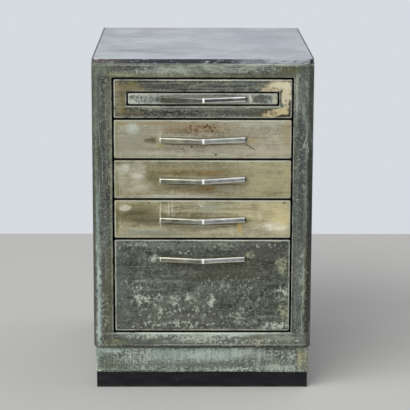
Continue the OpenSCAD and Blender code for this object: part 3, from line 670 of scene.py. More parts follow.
DEEP_MARKS = ([
    (60, 290, 80, 26, 0x4e4c3c, 0.85), (130, 330, 50, 18, 0x4e4c46, 0.85),
    (-190, 260, 14, 90, 0x525b58, 0.7), (-60, 170, 130, 26, 0x5c5e52, 0.6),
    (-90, 345, 110, 6, 0x70766c, 0.7), (30, 268, 90, 9, 0x3c3e2e, 0.7),
    (-60, 300, 50, 7, 0x404232, 0.6), (60, 348, 120, 4, 0x70766a, 0.6),
    (10, 216, 60, 14, 0x64685c, 0.5),
], [
    (FLECKS, -112, 316, 15, 12, DEEP_PALE, 1.2), (FLECKS, -96, 300, 10, 14, DEEP_PALE, 0.9),
    (FLECKS, 108, 318, 14, 18, DEEP_KHAKI, 1.1), (FLECKS, -35, 328, 40, 6, DEEP_PALE, 0.9),
    (FLECKS, 182, 300, 14, 28, DEEP_KHAKI, 1.2), (FLECKS, 188, 228, 16, 22, DEEP_PALE, 1.1),
    (FLECKS, 190, 185, 15, 46, DEEP_KHAKI, 1.1), (FLECKS, 168, 150, 40, 12, DEEP_PALE, 1.2),
    (FLECKS, -146, 216, 28, 16, DEEP_PALE, 1.15), (FLECKS, -150, 250, 40, 20, DEEP_PALE, 0.75),
    (FLECKS, 60, 250, 80, 30, DEEP_PALE, 0.7), (FLECKS, -60, 185, 120, 20, DEEP_PALE, 0.8),
    (FLECKS, -180, 330, 30, 20, DEEP_PALE, 0.5), (FLECKS, -106, 216, 16, 16, DEEP_PALE, 1.0),
    (FLECKS, -66, 214, 16, 18, DEEP_PALE, 0.9), (FLECKS, -30, 218, 16, 14, DEEP_PALE, 1.1),
    (FLECKS, 20, 214, 12, 22, DEEP_PALE, 1.2), (FLECKS, 100, 222, 70, 34, 0x848c7e, 0.8),
    (FLECKS, -60, 155, 130, 12, DEEP_PALE, 0.9), (FLECKS, 100, 170, 60, 24, DEEP_PALE, 0.8),
    (FLECKS, -140, 346, 66, 7, DEEP_PALE, 0.8), (FLECKS, 150, 344, 40, 8, DEEP_PALE, 0.7),
    (FLECKS, 30, 344, 70, 9, 0x949c8e, 0.9), (FLECKS, -20, 284, 160, 26, 0x80887a, 0.5),
    (CHIP, -150, 294, 60, 0.8, 0x808a7c, 0.5, 1), (CHIP, 110, 262, 46, 0.8, 0x767e70, 0.5, -2),
    (CHIP, 20, 322, 70, 0.7, 0x7c8476, 0.45),
])
FASCIA_MARKS = ([
    (-180, 714, 38, 15, 0x746a4a, 0.95), (-160, 718, 14, 10, 0x6a6838, 0.9),
    (-150, 712, 20, 7, 0x787054, 0.8), (-192, 676, 10, 36, 0x867e60, 0.95),
    (-182, 668, 6, 28, 0x706434, 0.95), (-160, 655, 24, 7, 0x685842, 0.8),
    (-98, 718, 44, 6, 0x3e3e3a, 0.9), (26, 716, 70, 8, 0x50544e, 0.6),
    (-10, 719, 20, 3, 0x969884, 0.7, 8), (20, 668.5, 170, 1.6, 0xa2a696, 1.0),
    (110, 726, 34, 4, 0x5c6866, 0.8), (80, 656, 60, 7, 0x464038, 0.85),
    (172, 722, 26, 8, 0xbeb28c, 1.0, 8), (160, 650, 18, 4, 0xba9e66, 0.8),
], [
    (FLECKS, -186, 690, 14, 34, 0x4c482a, 0.9), (FLECKS, -196, 714, 8, 14, 0xa49a7c, 1.0),
    (CHIP, -182, 645.5, 9, 2, 0x605060, 0.8), (FLECKS, -20, 652, 90, 8, MINT, 0.7),
    (CHIP, -70, 723, 50, 0.8, 0x84897a, 0.6, 1), (CHIP, 20, 712, 70, 0.8, 0x7e8374, 0.55, -1),
    (CHIP, -40, 708, 60, 0.9, 0x24261f, 0.7, 1), (CHIP, 90, 722, 46, 0.8, 0x8a948c, 0.6),
    (CHIP, 60, 717, 60, 0.9, 0x282a22, 0.7), (CHIP, -110, 713, 40, 0.8, 0x22241e, 0.7, -2),
    (CHIP, 0, 663, 90, 0.8, 0x929686, 0.55), (CHIP, -60, 658, 60, 0.8, 0x282921, 0.6, 1),
    (CHIP, 176, 718, 27, 7, 0xcec5a8, 0.9, 6), (CHIP, 157, 707, 20, 4.5, 0xcab895, 0.88, 12),
    (CHIP, 191, 692, 11, 36, 0xd2c9aa, 0.92), (CHIP, 166, 656, 32, 9, 0xc6b78a, 0.92, 10),
    (CHIP, 148, 710, 17, 4, 0xc4b592, 0.88, 14), (FLECKS, 192, 694, 13, 40, 0x5c5036, 0.85),
    (FLECKS, 152, 706, 36, 9, 0x48422e, 1.15, 10), (FLECKS, 142, 656, 36, 11, 0x423c2a, 1.2),
    (FLECKS, 200, 662, 7, 22, 0x383022, 1.3), (CHIP, 203, 704, 2, 20, 0x786c4e, 0.8),
    (FLECKS, 186, 716, 22, 12, 0xe2dabe, 0.9), (FLECKS, 192, 680, 10, 34, 0xe2d8b8, 0.9),
    (CHIP, 184, 648, 22, 4, 0x2c241e, 0.95, 9), (CHIP, 199.5, 664, 4.4, 22, 0x403b2a, 0.9, 3),
    (CHIP, 196, 654, 8, 4, 0x342e20, 0.9, 52), (FLECKS, 194, 672, 10, 20, 0x3c3626, 1.2),
])
TRAY_MARKS = ([
    (-10, 690, 106, 9, 0x686c5e, 0.85), (-60, 681, 70, 4, 0x54543e, 0.9),
    (20, 682, 80, 4, 0x585a54, 0.8), (132, 687, 24, 12, 0x7c8076, 0.9),
    (165, 687, 7, 11, 0xb0b498, 0.9),
], [
    (CHIP, -84, 675.5, 38, 1.5, 0xcecebe, 0.9), (FLECKS, -134, 687, 38, 12, TRAY_DARK, 1.2),
    (FLECKS, -104, 688, 8, 10, TRAY_DARK, 1.5), (FLECKS, 134, 687, 30, 13, 0x343630, 1.5),
    (FLECKS, 50, 696, 60, 3, TRAY_DARK, 1.2), (CHIP, -162, 692, 5.5, 5, 0x5c6054, 0.95),
    (CHIP, 108, 688, 3.4, 9, 0xcacaba, 0.9, 8),
])
PLINTH_MARKS = ([
    (-226, 70, 22, 22, 0x4e5648, 0.9), (-205, 52, 44, 8, 0x525640, 0.8),
    (-218, 91, 30, 6, 0x9eaea4, 1.0), (-246, 72, 4, 26, 0x96a8a0, 0.9),
    # the dark band at (0, 97.5), along the plinth's top under the casing, is painted shadow
    (0, 97.5, 248, 2.4, 0x343832, 0.95), (-126, 62, 34, 8, 0x606254, 0.8),
    (-40, 72, 70, 18, 0x8c9a94, 0.6), (90, 60, 120, 12, 0x60685c, 0.6),
    (235, 70, 12, 24, 0x989678, 1.1), (100, 86, 26, 9, 0xa4afa1, 0.9, 12),
    (136, 80, 18, 11, 0xa0ab9e, 0.8), (20, 80, 80, 12, 0xa4b1a8, 0.9),
    (-90, 78, 34, 13, 0x9caaa2, 0.8), (172, 50, 40, 6, 0xa6ae9e, 0.8),
    (188, 93, 34, 4, 0x42483c, 0.9), (10, 55, 120, 5, 0x60665a, 0.8),
    (0, 42.5, 245, 1.8, 0x969e8e, 0.5), (-170, 39.5, 90, 1.5, 0x2c3024, 0.95),
], [
    (FLECKS, -150, 72, 60, 20, 0xb8c2b4, 0.9), (FLECKS, -214, 84, 34, 10, 0xb4c0b4, 0.9),
    (FLECKS, 10, 76, 100, 20, 0xb8c2b8, 0.9), (FLECKS, 150, 60, 70, 20, 0xb0b8a8, 0.7),
    (FLECKS, 110, 44, 120, 4, 0xccd2c0, 0.9), (CHIP, -248.5, 50, 1.3, 10, 0xc4c496, 0.9),
    (CHIP, -242, 41.5, 6, 1.2, 0xdcdab8, 0.9, -14),
])


RIM_INSET = 2.3             # millimetres from a front's border to the middle of its worn line


def front_rims(node, width=2.0 * MM, inset=RIM_INSET * MM):
    """The worn line along a front's folded border."""
    low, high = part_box(node)
    return [(low.x + inset, high.x - inset, low.z + inset, high.z - inset, width, 1.0)]


def front_marks(marks, node, row=None, x=60, half_w=150):
    """The marks, a top-edge line of wear and painted highlight, and painted shadow round a row's
    handle.
    """
    soft, spots = marks
    # a light line along the top edge: worn paint and painted highlight
    glint = (x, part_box(node)[1].z / MM - RIM_INSET, half_w, 1.2, 0xe8e6d4, 1.0)
    return soft + [glint], spots + (handle_painted_shadows(row) if row else [])


def handle_painted_shadows(row):
    """Painted shadow: dark lines on the front close above and below its handle, as seen from the
    front.
    """
    low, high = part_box(f"{row}_handle")
    z, lines = (low.z + high.z) / 2 / MM, []
    for side in (-1, 1):
        lines += [(CHIP, side * 46, z - 11.6, 44, 1.3, 0x3e3622, 0.8, 1.6 * side),
                  (CHIP, side * 48, z + 4.6, 48, 0.9, 0x605c3e, 0.65, 1.6 * side)]
    return lines


def slot_rims():
    low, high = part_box("tray_front")
    gap = SLOT_GAP + 1 * MM
    return [(low.x - gap, high.x + gap, low.z - gap, high.z + gap, 1.6 * MM, 1.0)]


# ---- casing ----
SEAM_Z = CASE_TOP - 7.5 * MM        # the groove below the worktop
SEAM_D, SEAM_HALF = 0.35 * MM, 1.2 * MM
WALL_WAVE_D = 0.25 * MM     # each of the two waves that cross in a side wall
WAVE_FADE = 80 * MM         # the length over which the waves die out towards an edge
PLAIN_FRONT, PLAIN_BACK = 60 * MM, 30 * MM      # parts of the side walls without waves


def side_stations():
    """Heights of the side panels' grid lines, closer round the seam and the opening's ends."""
    near = [SEAM_Z + d * MM for d in (4.5, 1.5, 0, -1.5)]
    near += [OPEN_TOP, OPEN_TOP + 0.6 * MM, OPEN_BOTTOM, OPEN_BOTTOM - 0.6 * MM]
    return spaced(CASE_BOTTOM, CASE_TOP, 20 * MM, near)


def seam(x, y, z):
    """The shallow groove below the worktop, on the front only."""
    if y > FRONT_Y + 3 * MM or abs(x) > HALF_W - CORNER_R - 1 * MM:
        return Vector()
    return Vector((0, SEAM_D * bump_at(z, SEAM_Z, SEAM_HALF), 0))


def faded(*lengths):
    """1 where every length is WAVE_FADE or more, falling to 0 where one is nothing."""
    return max(0.0, min(1.0, *(length / WAVE_FADE for length in lengths)))


def panel_shift(x, y, z):
    """The seam, slight waves in the wall, and a stile that lies flat where a rail meets it."""
    beside_opening = OPEN_BOTTOM - HAIR < z < OPEN_TOP + HAIR
    in_fold = OPEN_HALF + HAIR / 10 < abs(x) < OPEN_HALF + FOLD_R and y < FRONT_Y + FOLD_R - HAIR
    flat = Vector()
    if in_fold and not beside_opening:
        deep = SHEET_T if y > FRONT_Y + SHEET_T else 0.0
        flat = Vector((0, min(0.0, FRONT_Y + deep - y), 0))
    wave = abs(WALL_WAVE_D * (sin(9 * y + 5 * z) + sin(23 * z - 11 * y + 1)))
    wave *= faded(y - FRONT_Y - PLAIN_FRONT, BACK_Y - y - PLAIN_BACK)
    wave *= faded(z - CASE_BOTTOM, CASE_TOP - z)
    return flat + seam(x, y, z) + Vector((-wave if x > 0 else wave, 0, 0))


def casing_sheet(name, mesh, paint):
    new_piece(name + "_shell", *mesh, paint, slot="casing_paint", replaces=[name])


def side_panels(paint):
    corners = [(OPEN_HALF, FRONT_Y + RETURN_D), (OPEN_HALF, FRONT_Y), (HALF_W, FRONT_Y),
               (HALF_W, BACK_Y), (HALF_W - REAR_FLANGE, BACK_Y)]
    path = section_path(corners, [FOLD_R, CORNER_R, FOLD_R], 20 * MM, 10)
    for name, side in (("side_panel_left", -1), ("side_panel_right", 1)):
        mesh = swept_sheet(path, SHEET_T, side_stations(),
                           lambda u, v, t: (side * u, v, t), panel_shift)
        casing_sheet(name, mesh, paint)


def rails(paint):
    for name in ("top_rail", "bottom_rail"):
        low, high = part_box(name)
        edge, far = (low.z, high.z) if name == "top_rail" else (high.z, low.z)
        corners = [(FRONT_Y, far), (FRONT_Y, edge), (FRONT_Y + RETURN_D, edge)]
        path = section_path(corners, [FOLD_R], 2 * MM, 6)
        if name == "bottom_rail":
            path = [(p, -n) for p, n in path]
        mesh = swept_sheet(path, SHEET_T, spaced(low.x, high.x, 12 * MM),
                           lambda u, v, t: (t, u, v), seam)
        casing_sheet(name, mesh, paint)


# ---- fronts ----
def front_place(u, v, w):
    return u, FRONT_Y + w, v


def nearest(lines, value):
    return min(lines, key=lambda line: abs(line - value))


def sheet_front(name, node, material, body, slot, hole_node=None, press=None, corner=1.2 * MM):
    """A folded front panel in the place of a CAD node, with a slot where hole_node lies."""
    low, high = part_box(node)
    fold = FRONT_FOLD_R
    u0, u1, v0, v1 = low.x + fold, high.x - fold, low.z + fold, high.z - fold
    stops_u, stops_v = corner_stops(u0, u1, corner), corner_stops(v0, v1, corner)
    hole = None
    if hole_node:
        inner_low, inner_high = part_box(hole_node)
        grow = SLOT_GAP + SLOT_FOLD_R
        hole = [inner_low.x - grow, inner_high.x + grow, inner_low.z - grow, inner_high.z + grow]
        stops_u += hole[:2]
        stops_v += hole[2:]
    us, vs = spaced(u0, u1, CELL, stops_u), spaced(v0, v1, CELL, stops_v)
    if hole:
        hole = [nearest(us, hole[0]), nearest(us, hole[1]),
                nearest(vs, hole[2]), nearest(vs, hole[3])]
    mesh = folded_sheet(us, vs, corner, corner, fold, high.y - low.y, FRONT_T, front_place,
                        hole, SLOT_FOLD_R, SLOT_FOLD_D, press)
    new_piece(name, *mesh, material, body, slot, [node])


def shallow_wave(phase, depth=0.35 * MM):
    def press(u, v, w):
        return depth * (1 + sin(14 * u + phase) * cos(21 * v + 2 * phase)) / 2 if w < 1e-6 else 0.0
    return press


def fronts():
    fascia = worn_paint("fascia_worn_paint", FASCIA_TONES, "x",
                        front_marks(FASCIA_MARKS, "fascia"), 0.25,
                        front_rims("fascia") + slot_rims(), shift=41.0, streaks=1.5,
                        pocket="fold", speck_scale=150, grain_depth=1.0)
    sheet_front("fascia_panel", "fascia", fascia, "cabinet", "fascia_paint", "tray_front")
    tray = worn_paint("tray_worn_paint", TRAY_TONES, "x", TRAY_MARKS, 0.2,
                      front_rims("tray_front", 1.5 * MM, 1.8 * MM), shift=47.0, pocket="fold",
                      speck_scale=200)
    sheet_front("tray_panel", "tray_front", tray, "tray", "tray_paint")
    for row, tones, marks, phase in (("upper", UPPER_TONES, UPPER_MARKS, 0.3),
                                     ("middle", MIDDLE_TONES, MIDDLE_MARKS, 1.7),
                                     ("lower", TAN_TONES, LOWER_MARKS, 3.4)):
        node = f"{row}_drawer_front"
        paint = worn_paint(f"{row}_front_paint", tones, "x", front_marks(marks, node, row), 0.0,
                           front_rims(node), shift=60.0 + 13 * phase, roughness=0.46, grime=0.3,
                           streaks=1.6, pocket="fold", speck_scale=140, grain_depth=0.6)
        sheet_front(f"{row}_front_panel", node, paint, f"{row}_drawer", "tan_front_paint",
                    press=shallow_wave(phase))
    node = "deep_drawer_front"
    paint = worn_paint("deep_front_paint", DEEP_TONES, "x",
                       front_marks(DEEP_MARKS, node, "deep", 40, 190), 0.45,
                       front_rims(node, 2.2 * MM), shift=88.0, streaks=0.45, pocket="fold",
                       speck_scale=150)
    sheet_front("deep_front_panel", node, paint, "deep_drawer", "deep_front_paint",
                press=shallow_wave(0.8, 0.6 * MM))


# ---- worktop ----
RIM_GROOVE_IN = 3 * MM      # from the worktop's side edge to the middle of its groove
RIM_GROOVE_HALF = 0.8 * MM
RIM_GROOVE_D = 1.0 * MM
DENT_DOWN, DENT_BACK = 6 * MM, 12 * MM      # how far down the lip and back on the top dents reach
DENTS = [       # in the lip, in millimetres: x, half width, depth
    (-120, 10, 0.5), (-60, 6, 0.6), (118, 4, 0.9), (128, 3, 0.8), (150, 6, 1.5), (172, 5, 1.1),
    (184, 4, 1.7), (204, 8, 1.3), (232, 4, 1.4),
]


def worktop():
    low, high = WORKTOP_LOW, WORKTOP_HIGH
    r = TOP_EDGE_R
    round_r = CORNER_R - (HALF_W - high.x) - r
    back_r = 1.5 * MM
    u0, u1, v0, v1 = low.x + r, high.x - r, low.y + r, high.y - r
    groove = high.x - RIM_GROOVE_IN
    lines = [groove + d * RIM_GROOVE_HALF for d in (-1, -0.5, 0.5, 1)]
    stops = corner_stops(u0, u1, round_r, 6) + corner_stops(u0, u1, back_r, 3)
    us = spaced(u0, u1, CELL, stops + lines + [-line for line in lines])
    vs = spaced(v0, v1, 16 * MM, [v0 + round_r * (1 - cos(pi / 2 * k / 6)) for k in range(7)]
                + [v1 - back_r * k / 3 for k in range(4)])

    def press(u, v, w):
        if w > DENT_DOWN:
            return 0.0
        dents = sum(depth * bump_at(u, x * MM, half_w * MM) for x, half_w, depth in DENTS)
        return dents * MM * bump_at(v, low.y, DENT_BACK)

    verts, faces = folded_sheet(us, vs, round_r, back_r, r, high.z - low.z, SHEET_T,
                                lambda u, v, w: (u, v, high.z - w), press=press)
    for spot in verts:
        near = abs(abs(spot.x) - groove) < RIM_GROOVE_HALF * 0.75
        if near and spot.z > high.z - HAIR and low.y + round_r < spot.y < high.y - 4 * MM:
            spot.z -= RIM_GROOVE_D
    new_piece("worktop_sheet", verts, faces, worktop_steel(), slot="worktop_steel",
              replaces=["worktop"])


TOP_MARKS = [   # on the top face: x, y, half sizes, colour, strength and tilt
    (-160, -160, 52, 22, 0x767a82, 0.8, 8),
    (-120, -196, 44, 12, 0x868a92, 0.8, -6),
    (-90, -120, 60, 40, 0xa0a4aa, 0.6),
    (-205, -240, 40, 40, 0xb0bebc, 0.7),
    (150, 60, 90, 120, 0x9ca0aa, 0.7),
    (-120, 262, 70, 20, 0xa8a09e, 0.8),
    (190, -235, 50, 40, 0xacb6b4, 0.6),
    (60, -60, 120, 60, 0xb6bcc0, 0.5),
]


def worktop_steel():
    s = Shade("worktop_worn_steel", 0.45, 0.28)
    brushed = s.noise((10, 300, 60), 4, 0.65, 2)
    across = s.noise((260, 12, 60), 3, 0.6, 5)
    cloud = s.noise((9, 9, 14), 5, 0.65, 9)
    fine = s.noise(260, 3, 0.6, 4)
    tone = s.total((brushed, 0.35), (across, 0.05), (cloud, 0.6))
    s.colour = 0xa0a4a9
    s.coat(s.step(tone, 0.4, 0.6), 0xc1c5c9)
    place = s.upright(s.xyz[0], s.xyz[1])
    for x, y, half_w, half_h, tint, strength, *tilt in TOP_MARKS:
        here = s.patch(place, x, y, half_w, half_h, 0.8, *tilt)
        uneven = s.scaled(s.step(brushed, 0.35, 0.6), 0.5, 0.5)
        s.coat(s.math("MULTIPLY", here, uneven), tint, strength)
    s.coat(s.step(fine, 0.4, 0.32), 0x707276, 0.5)
    for k, (angle, tint) in enumerate(((24, 0xccd0d4), (-50, 0x84888e), (8, 0x8e9298))):
        wiped = s.noise((7, 260, 60), 3, 0.6, 20 + 9 * k, s.turned(s.place, "Z", angle))
        s.coat(s.step(wiped, 0.6, 0.7), tint, 0.45)

    low, high = WORKTOP_LOW, WORKTOP_HIGH
    side = s.math("ABSOLUTE", s.xyz[0])
    away = s.math("ABSOLUTE", s.scaled(side, 1, RIM_GROOVE_IN - high.x))
    s.coat(s.step(away, RIM_GROOVE_HALF * 2.6, RIM_GROOVE_HALF), 0x282a2c)
    back = s.total((s.xyz[1], 1.0), (fine, 3 * MM))
    s.coat(s.step(back, high.y - 7 * MM, high.y - 3.5 * MM), 0x424448, 0.85)
    s.coat(s.step(s.xyz[2], high.z - 0.05 * MM, high.z - 0.5 * MM), 0xa8adb2, 0.5)

    top, s.colour = s.colour, 0x56514b      # from here on, the colour of the lip
    # Painted reflection: the lip goes dark to the left and silvery to the right.
    x = s.total((s.xyz[0], 1.0), (cloud, 0.08), add=-0.04)
    s.coat(s.step(x, -0.20, -0.14), 0x262a30)
    s.coat(s.step(x, 0.06, 0.10), 0x7a7e84)
    s.coat(s.step(x, 0.14, 0.17), 0xacb0b5)
    s.coat(s.step(s.xyz[1], low.y + 14 * MM, low.y + 26 * MM), 0x74787e)
    dashes = s.noise((70, 30, 260), 4, 0.7, 8)
    s.coat(s.step(dashes, 0.47, 0.36), 0x42464e, 0.75)
    s.coat(s.step(dashes, 0.56, 0.68), 0xbec2c6, 0.75)
    s.coat(s.step(s.xyz[2], low.z + 1.3 * MM, low.z + 0.5 * MM), 0x969a98, 0.7)
    # Painted shade at both ends of the lip, where it turns round the front corners.
    corner = s.step(s.xyz[1], low.y + 16 * MM, low.y + 9 * MM)
    s.coat(s.step(x, 0.238, 0.244), 0x1e1e1a, corner)
    s.coat(s.step(x, -0.244, -0.25), 0x28261e, corner)
    lip = s.step(s.xyz[2], high.z - 0.7 * MM, high.z - 1.9 * MM)
    s.colour = s.mix(lip, top, s.colour)
    rough = s.total((cloud, 0.25), (fine, 0.1), add=0.31)
    return s.finish(s.total((brushed, 0.6), (fine, 0.6)), 0.05 * MM, rough)


# ---- handles ----
HANDLE_T = 6.5 * MM
HANDLE_BEVEL = 2.2 * MM
HANDLE_FOOT = 12 * MM
HANDLE_RISE = 15 * MM
HANDLE_END_R = 2 * MM
HANDLE_RIDGE_R = 1.6 * MM
HANDLE_SAG = 1.6 * MM       # how much lower the ridge lies than the ends
HANDLE_TILTS = {"tray": 0.0, "upper": 0.4, "middle": 1.2, "lower": 0.3, "deep": 0.3}   # degrees


def rounded_turn(before, corner, after, reach, steps=5):
    """Points of a smooth turn that starts and ends `reach` from the corner."""
    start = corner + (before - corner).normalized() * reach
    end = corner + (after - corner).normalized() * reach
    turn = []
    for k in range(steps + 1):
        t = k / steps
        turn.append(start.lerp(corner, t).lerp(corner.lerp(end, t), t))
    return turn


def handle_plan(low, high):
    """Matching outer and inner points of the handle seen from above, from end to end."""
    half, out = high.x, low.y
    foot_x = half - HANDLE_FOOT
    slope = HANDLE_RISE / half
    shoulder, ridge = Vector((half, out + HANDLE_RISE)), Vector((0, out))
    inner_ridge = Vector((0, out + HANDLE_T * hypot(1, slope)))
    inner_shoulder = Vector((foot_x, inner_ridge.y + foot_x * slope))
    arm = 10

    def side(foot, bend, top, reach):
        points = [foot] + rounded_turn(foot, bend, top, reach)
        end = top + (bend - top).normalized() * HANDLE_RIDGE_R
        points += [points[-1].lerp(end, k / arm) for k in range(1, arm + 1)]
        return points

    outer = side(Vector((half, FRONT_Y)), shoulder, ridge, HANDLE_END_R)
    inner = side(Vector((foot_x, FRONT_Y)), inner_shoulder, inner_ridge, HANDLE_END_R)
    soft = HANDLE_RIDGE_R * slope
    outer += [Vector((HANDLE_RIDGE_R * 0.5, out + soft * 0.62)), Vector((0, out + soft * 0.5))]
    inner += [Vector((HANDLE_RIDGE_R * 0.5, inner_ridge.y + soft * 0.62)),
              Vector((0, inner_ridge.y + soft * 0.5))]
    right = list(zip(outer, inner))
    left = [(Vector((-o.x, o.y)), Vector((-i.x, i.y))) for o, i in right]
    return left + right[-2::-1]


def handle_mesh(node, tilt):
    """The bar's mesh and, for each face, whether it lies on the polished bevel."""
    low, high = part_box(node)
    middle, half_h = (low.z + high.z) / 2, (high.z - low.z) / 2
    b, small, soft = HANDLE_BEVEL, 0.5 * MM, 0.3 * MM
    verts, faces, polished = [], [], []
    shiny = (2, 3, 4, 6, 7, 8)      # sides of the section that belong to its two bevels
    plan = handle_plan(low, high)
    for outer, inner in plan:
        into, depth = (inner - outer).normalized(), (inner - outer).length
        ring = [(depth, half_h - small), (depth - small, half_h), (b + soft, half_h),
                (b - soft, half_h - soft * 0.5), (soft * 0.5, half_h - b + soft),
                (0, half_h - b - soft)]
        ring += [(inward, -z) for inward, z in reversed(ring)]
        for inward, z in ring:
            spot = outer + into * inward
            drop = HANDLE_SAG * (0.7 - abs(spot.x) / high.x)
            verts.append((spot.x, spot.y, middle + z + spot.x * tan(radians(tilt)) - drop))
    count = len(ring)
    for k in range(len(plan) - 1):
        a = k * count
        for j in range(count):
            n = (j + 1) % count
            faces.append((a + j, a + n, a + count + n, a + count + j))
            polished.append(j in shiny)
    faces.append(tuple(range(count)))
    end = (len(plan) - 1) * count
    faces.append(tuple(end + j for j in reversed(range(count))))
    return outward_mesh(verts, faces), polished + [False, False]


def handle_metal(name, left, right, tips, rough_add):
    """Brushed metal whose halves carry a painted reflection, duller left of the ridge and brighter
    right of it, with a painted highlight on the polished ridge. tips are the colours of its left
    and right ends, a painted highlight and a painted shade.
    """
    s = Shade(name, 0.34, 1.0)
    streak = s.noise((8, 300, 620), 4, 0.65, 3)
    cloud = s.noise(40, 4, 0.65, 6)
    tone = s.step(s.total((streak, 0.6), (cloud, 0.4)), 0.38, 0.62)
    s.colour, bright = s.mix(tone, *left), s.mix(tone, *right)
    x = s.xyz[0]
    # Painted reflection: the right half brighter than the left; then a painted highlight, with its
    # polish, down the ridge.
    s.coat(s.step(x, -0.6 * MM, 0.2 * MM), bright)
    s.coat(s.step(s.math("ABSOLUTE", x), 70 * MM, 10 * MM), bright, 0.3)
    ridge = s.step(s.math("ABSOLUTE", s.scaled(x, 1, -1.2 * MM)), 3.0 * MM, 1.8 * MM)
    s.coat(ridge, 0xfffffa)
    s.coat(s.step(x, -95 * MM, -96.5 * MM), tips[0])
    s.coat(s.step(x, 96.5 * MM, 98 * MM), tips[1])
    rough = s.total((cloud, 0.25), add=rough_add)
    return s.finish(streak, 0.03 * MM, rough, s.scaled(ridge, -0.75, 1.0))


def handles():
    # end colours: the light left end is a painted highlight and the dark right end painted shade
    tips, tray_tips = (0xcecec2, 0x38342a), (0x686c60, 0x54564a)
    metals = [
        handle_metal("handle_metal_wear_and_painted_reflection", (0x545448, 0x8e8c7a), (0x7c7f80, 0xbebfbc), tips, 0.25),
        handle_metal("polished_handle_edges", (0x8c8c7a, 0xc0bfae), (0xd6d6cc, 0xf6f5ec), tips,
                     0.29)]
    tray_metals = [
        handle_metal("tray_handle_metal", (0x282b24, 0x5a5c50), (0x3c3e3c, 0x848580), tray_tips,
                     0.25),
        handle_metal("tray_handle_edges", (0x32352d, 0x686a5c), (0xdadad4, 0xf8f8f4), tray_tips,
                     0.29)]
    for row, tilt in HANDLE_TILTS.items():
        body = "tray" if row == "tray" else f"{row}_drawer"
        face, edge = tray_metals if row == "tray" else metals
        (verts, faces), polished = handle_mesh(f"{row}_handle", tilt)
        piece = new_piece(f"{row}_bar_handle", verts, faces, face, body, "handle_metal",
                          [f"{row}_handle"], 18)
        piece.data.materials.append(edge)
        for polygon, shiny in zip(piece.data.polygons, polished):
            polygon.material_index = int(shiny)


# ---- plinth and kick base ----
PLINTH_FOLD_R = 2.5 * MM
PLINTH_FLANGE = 18 * MM
EDGE_LIFT, EDGE_PRESS = 0.9 * MM, 1.0 * MM      # how far the lower edge waves up and inwards


def skirt_section():
    """The plinth wall's outline as (inset, height), with both folded flanges."""
    low, high = PLINTH_LOW.z, PLINTH_HIGH.z
    corners = [(PLINTH_FLANGE, high), (0, high), (0, low), (PLINTH_FLANGE, low)]
    return section_path(corners, [PLINTH_FOLD_R] * 2, 9 * MM, 5)


def skirt_wave(x, y, z):
    """The front's dents: its lower edge waves upwards and, in its face, inwards."""
    low_edge = bump_at(z, PLINTH_LOW.z, 10 * MM)
    pressed = lift = 0.0
    if y < PLINTH_LOW.y + PLINTH_FLANGE + 4 * MM:
        lift = low_edge * EDGE_LIFT * (1 + sin(31 * x + 1) * cos(12 * x)) / 2
    if y < PLINTH_LOW.y + 4 * MM:
        pressed = low_edge * EDGE_PRESS * (1 + sin(24 * x)) / 2
    return Vector((0, pressed, lift))


def plinth(paint):
    low_side, high_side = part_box("plinth_sides")
    half, front, back = PLINTH_HIGH.x, PLINTH_LOW.y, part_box("plinth_back")[1].y
    joint_front, joint_back = low_side.y, high_side.y
    r = PLINTH_FOLD_R
    section = skirt_section()

    # A station is (place, direction outwards at a round corner, side of x, side of y).
    def corner(sx, sy, y, steps=5):
        centre = Vector((sx * (half - r), y - sy * r))
        start, turn = 0.0 if sx > 0 else pi, pi / 2 * sx * sy
        return [(centre, start + turn * k / steps, sx, sy) for k in range(steps + 1)]

    def straight(a, b, sx, sy, cell=9 * MM):
        a, b = Vector(a), Vector(b)
        count = max(1, ceil((b - a).length / cell))
        return [(a.lerp(b, k / count), 0.0, sx, sy) for k in range(count + 1)]

    def run(y, joint, sy):
        """Stations from one side's joint round both corners to the other side's."""
        sx, near, flat = -sy, y - sy * r, half - r
        return (straight((sx * half, joint), (sx * half, near), sx, 0)[:-1] + corner(sx, sy, y)
                + straight((sx * flat, y), (-sx * flat, y), 0, sy)[1:-1]
                + corner(-sx, sy, y)[::-1]
                + straight((-sx * half, near), (-sx * half, joint), -sx, 0)[1:])

    def skirt(stations):
        def to_world(inset, height, k):
            centre, angle, sx, sy = stations[k]
            if sx == 0 or sy == 0:
                spot = centre - Vector((sx, sy)) * inset
            elif inset < r:
                spot = centre + Vector((cos(angle), sin(angle))) * (r - inset)
            else:
                spot = centre - Vector((sx, sy)) * (inset - r)
            return *spot, height
        return swept_sheet(section, SHEET_T, range(len(stations)), to_world, skirt_wave)

    for name, stations in (("plinth_front", run(front, joint_front, -1)),
                           ("plinth_back", run(back, joint_back, 1))):
        new_piece(name + "_skirt", *skirt(stations), paint, slot="plinth_paint", replaces=[name])
    verts, faces = [], []
    for side in (-1, 1):
        more, more_faces = skirt(straight((side * half, joint_front), (side * half, joint_back),
                                          side, 0, 20 * MM))
        faces += [[index + len(verts) for index in face] for face in more_faces]
        verts += more
    new_piece("plinth_side_skirts", verts, faces, paint, slot="plinth_paint",
              replaces=["plinth_sides"])


# ---- everything else ----
PLAIN_MATERIALS = {     # slot: name, colour, roughness, metallic, waves a metre of its mottle
    "inner_paint": ("inner_green_paint", 0x585f54, 0.5),
    "box_paint": ("box_green_paint", 0x64685a, 0.5),
    "runner_steel": ("dull_plated_steel", 0x969690, 0.38, 0.9),
    "roller_steel": ("turned_steel", 0xb0aa9e, 0.3, 0.9),
    "fastener_steel": ("plated_screw", 0xb4b4b0, 0.35, 1.0),
    "buffer_rubber": ("black_rubber", 0x222222, 0.8),
    "core_board": ("pressed_board", 0x967c5c, 0.8, 0.0, 140),
    "tray_paint": ("tray_inner_paint", 0x787c70, 0.5),
}
PLAIN_SPREAD = 0.15         # how much paler and darker than its colour a plain material gets


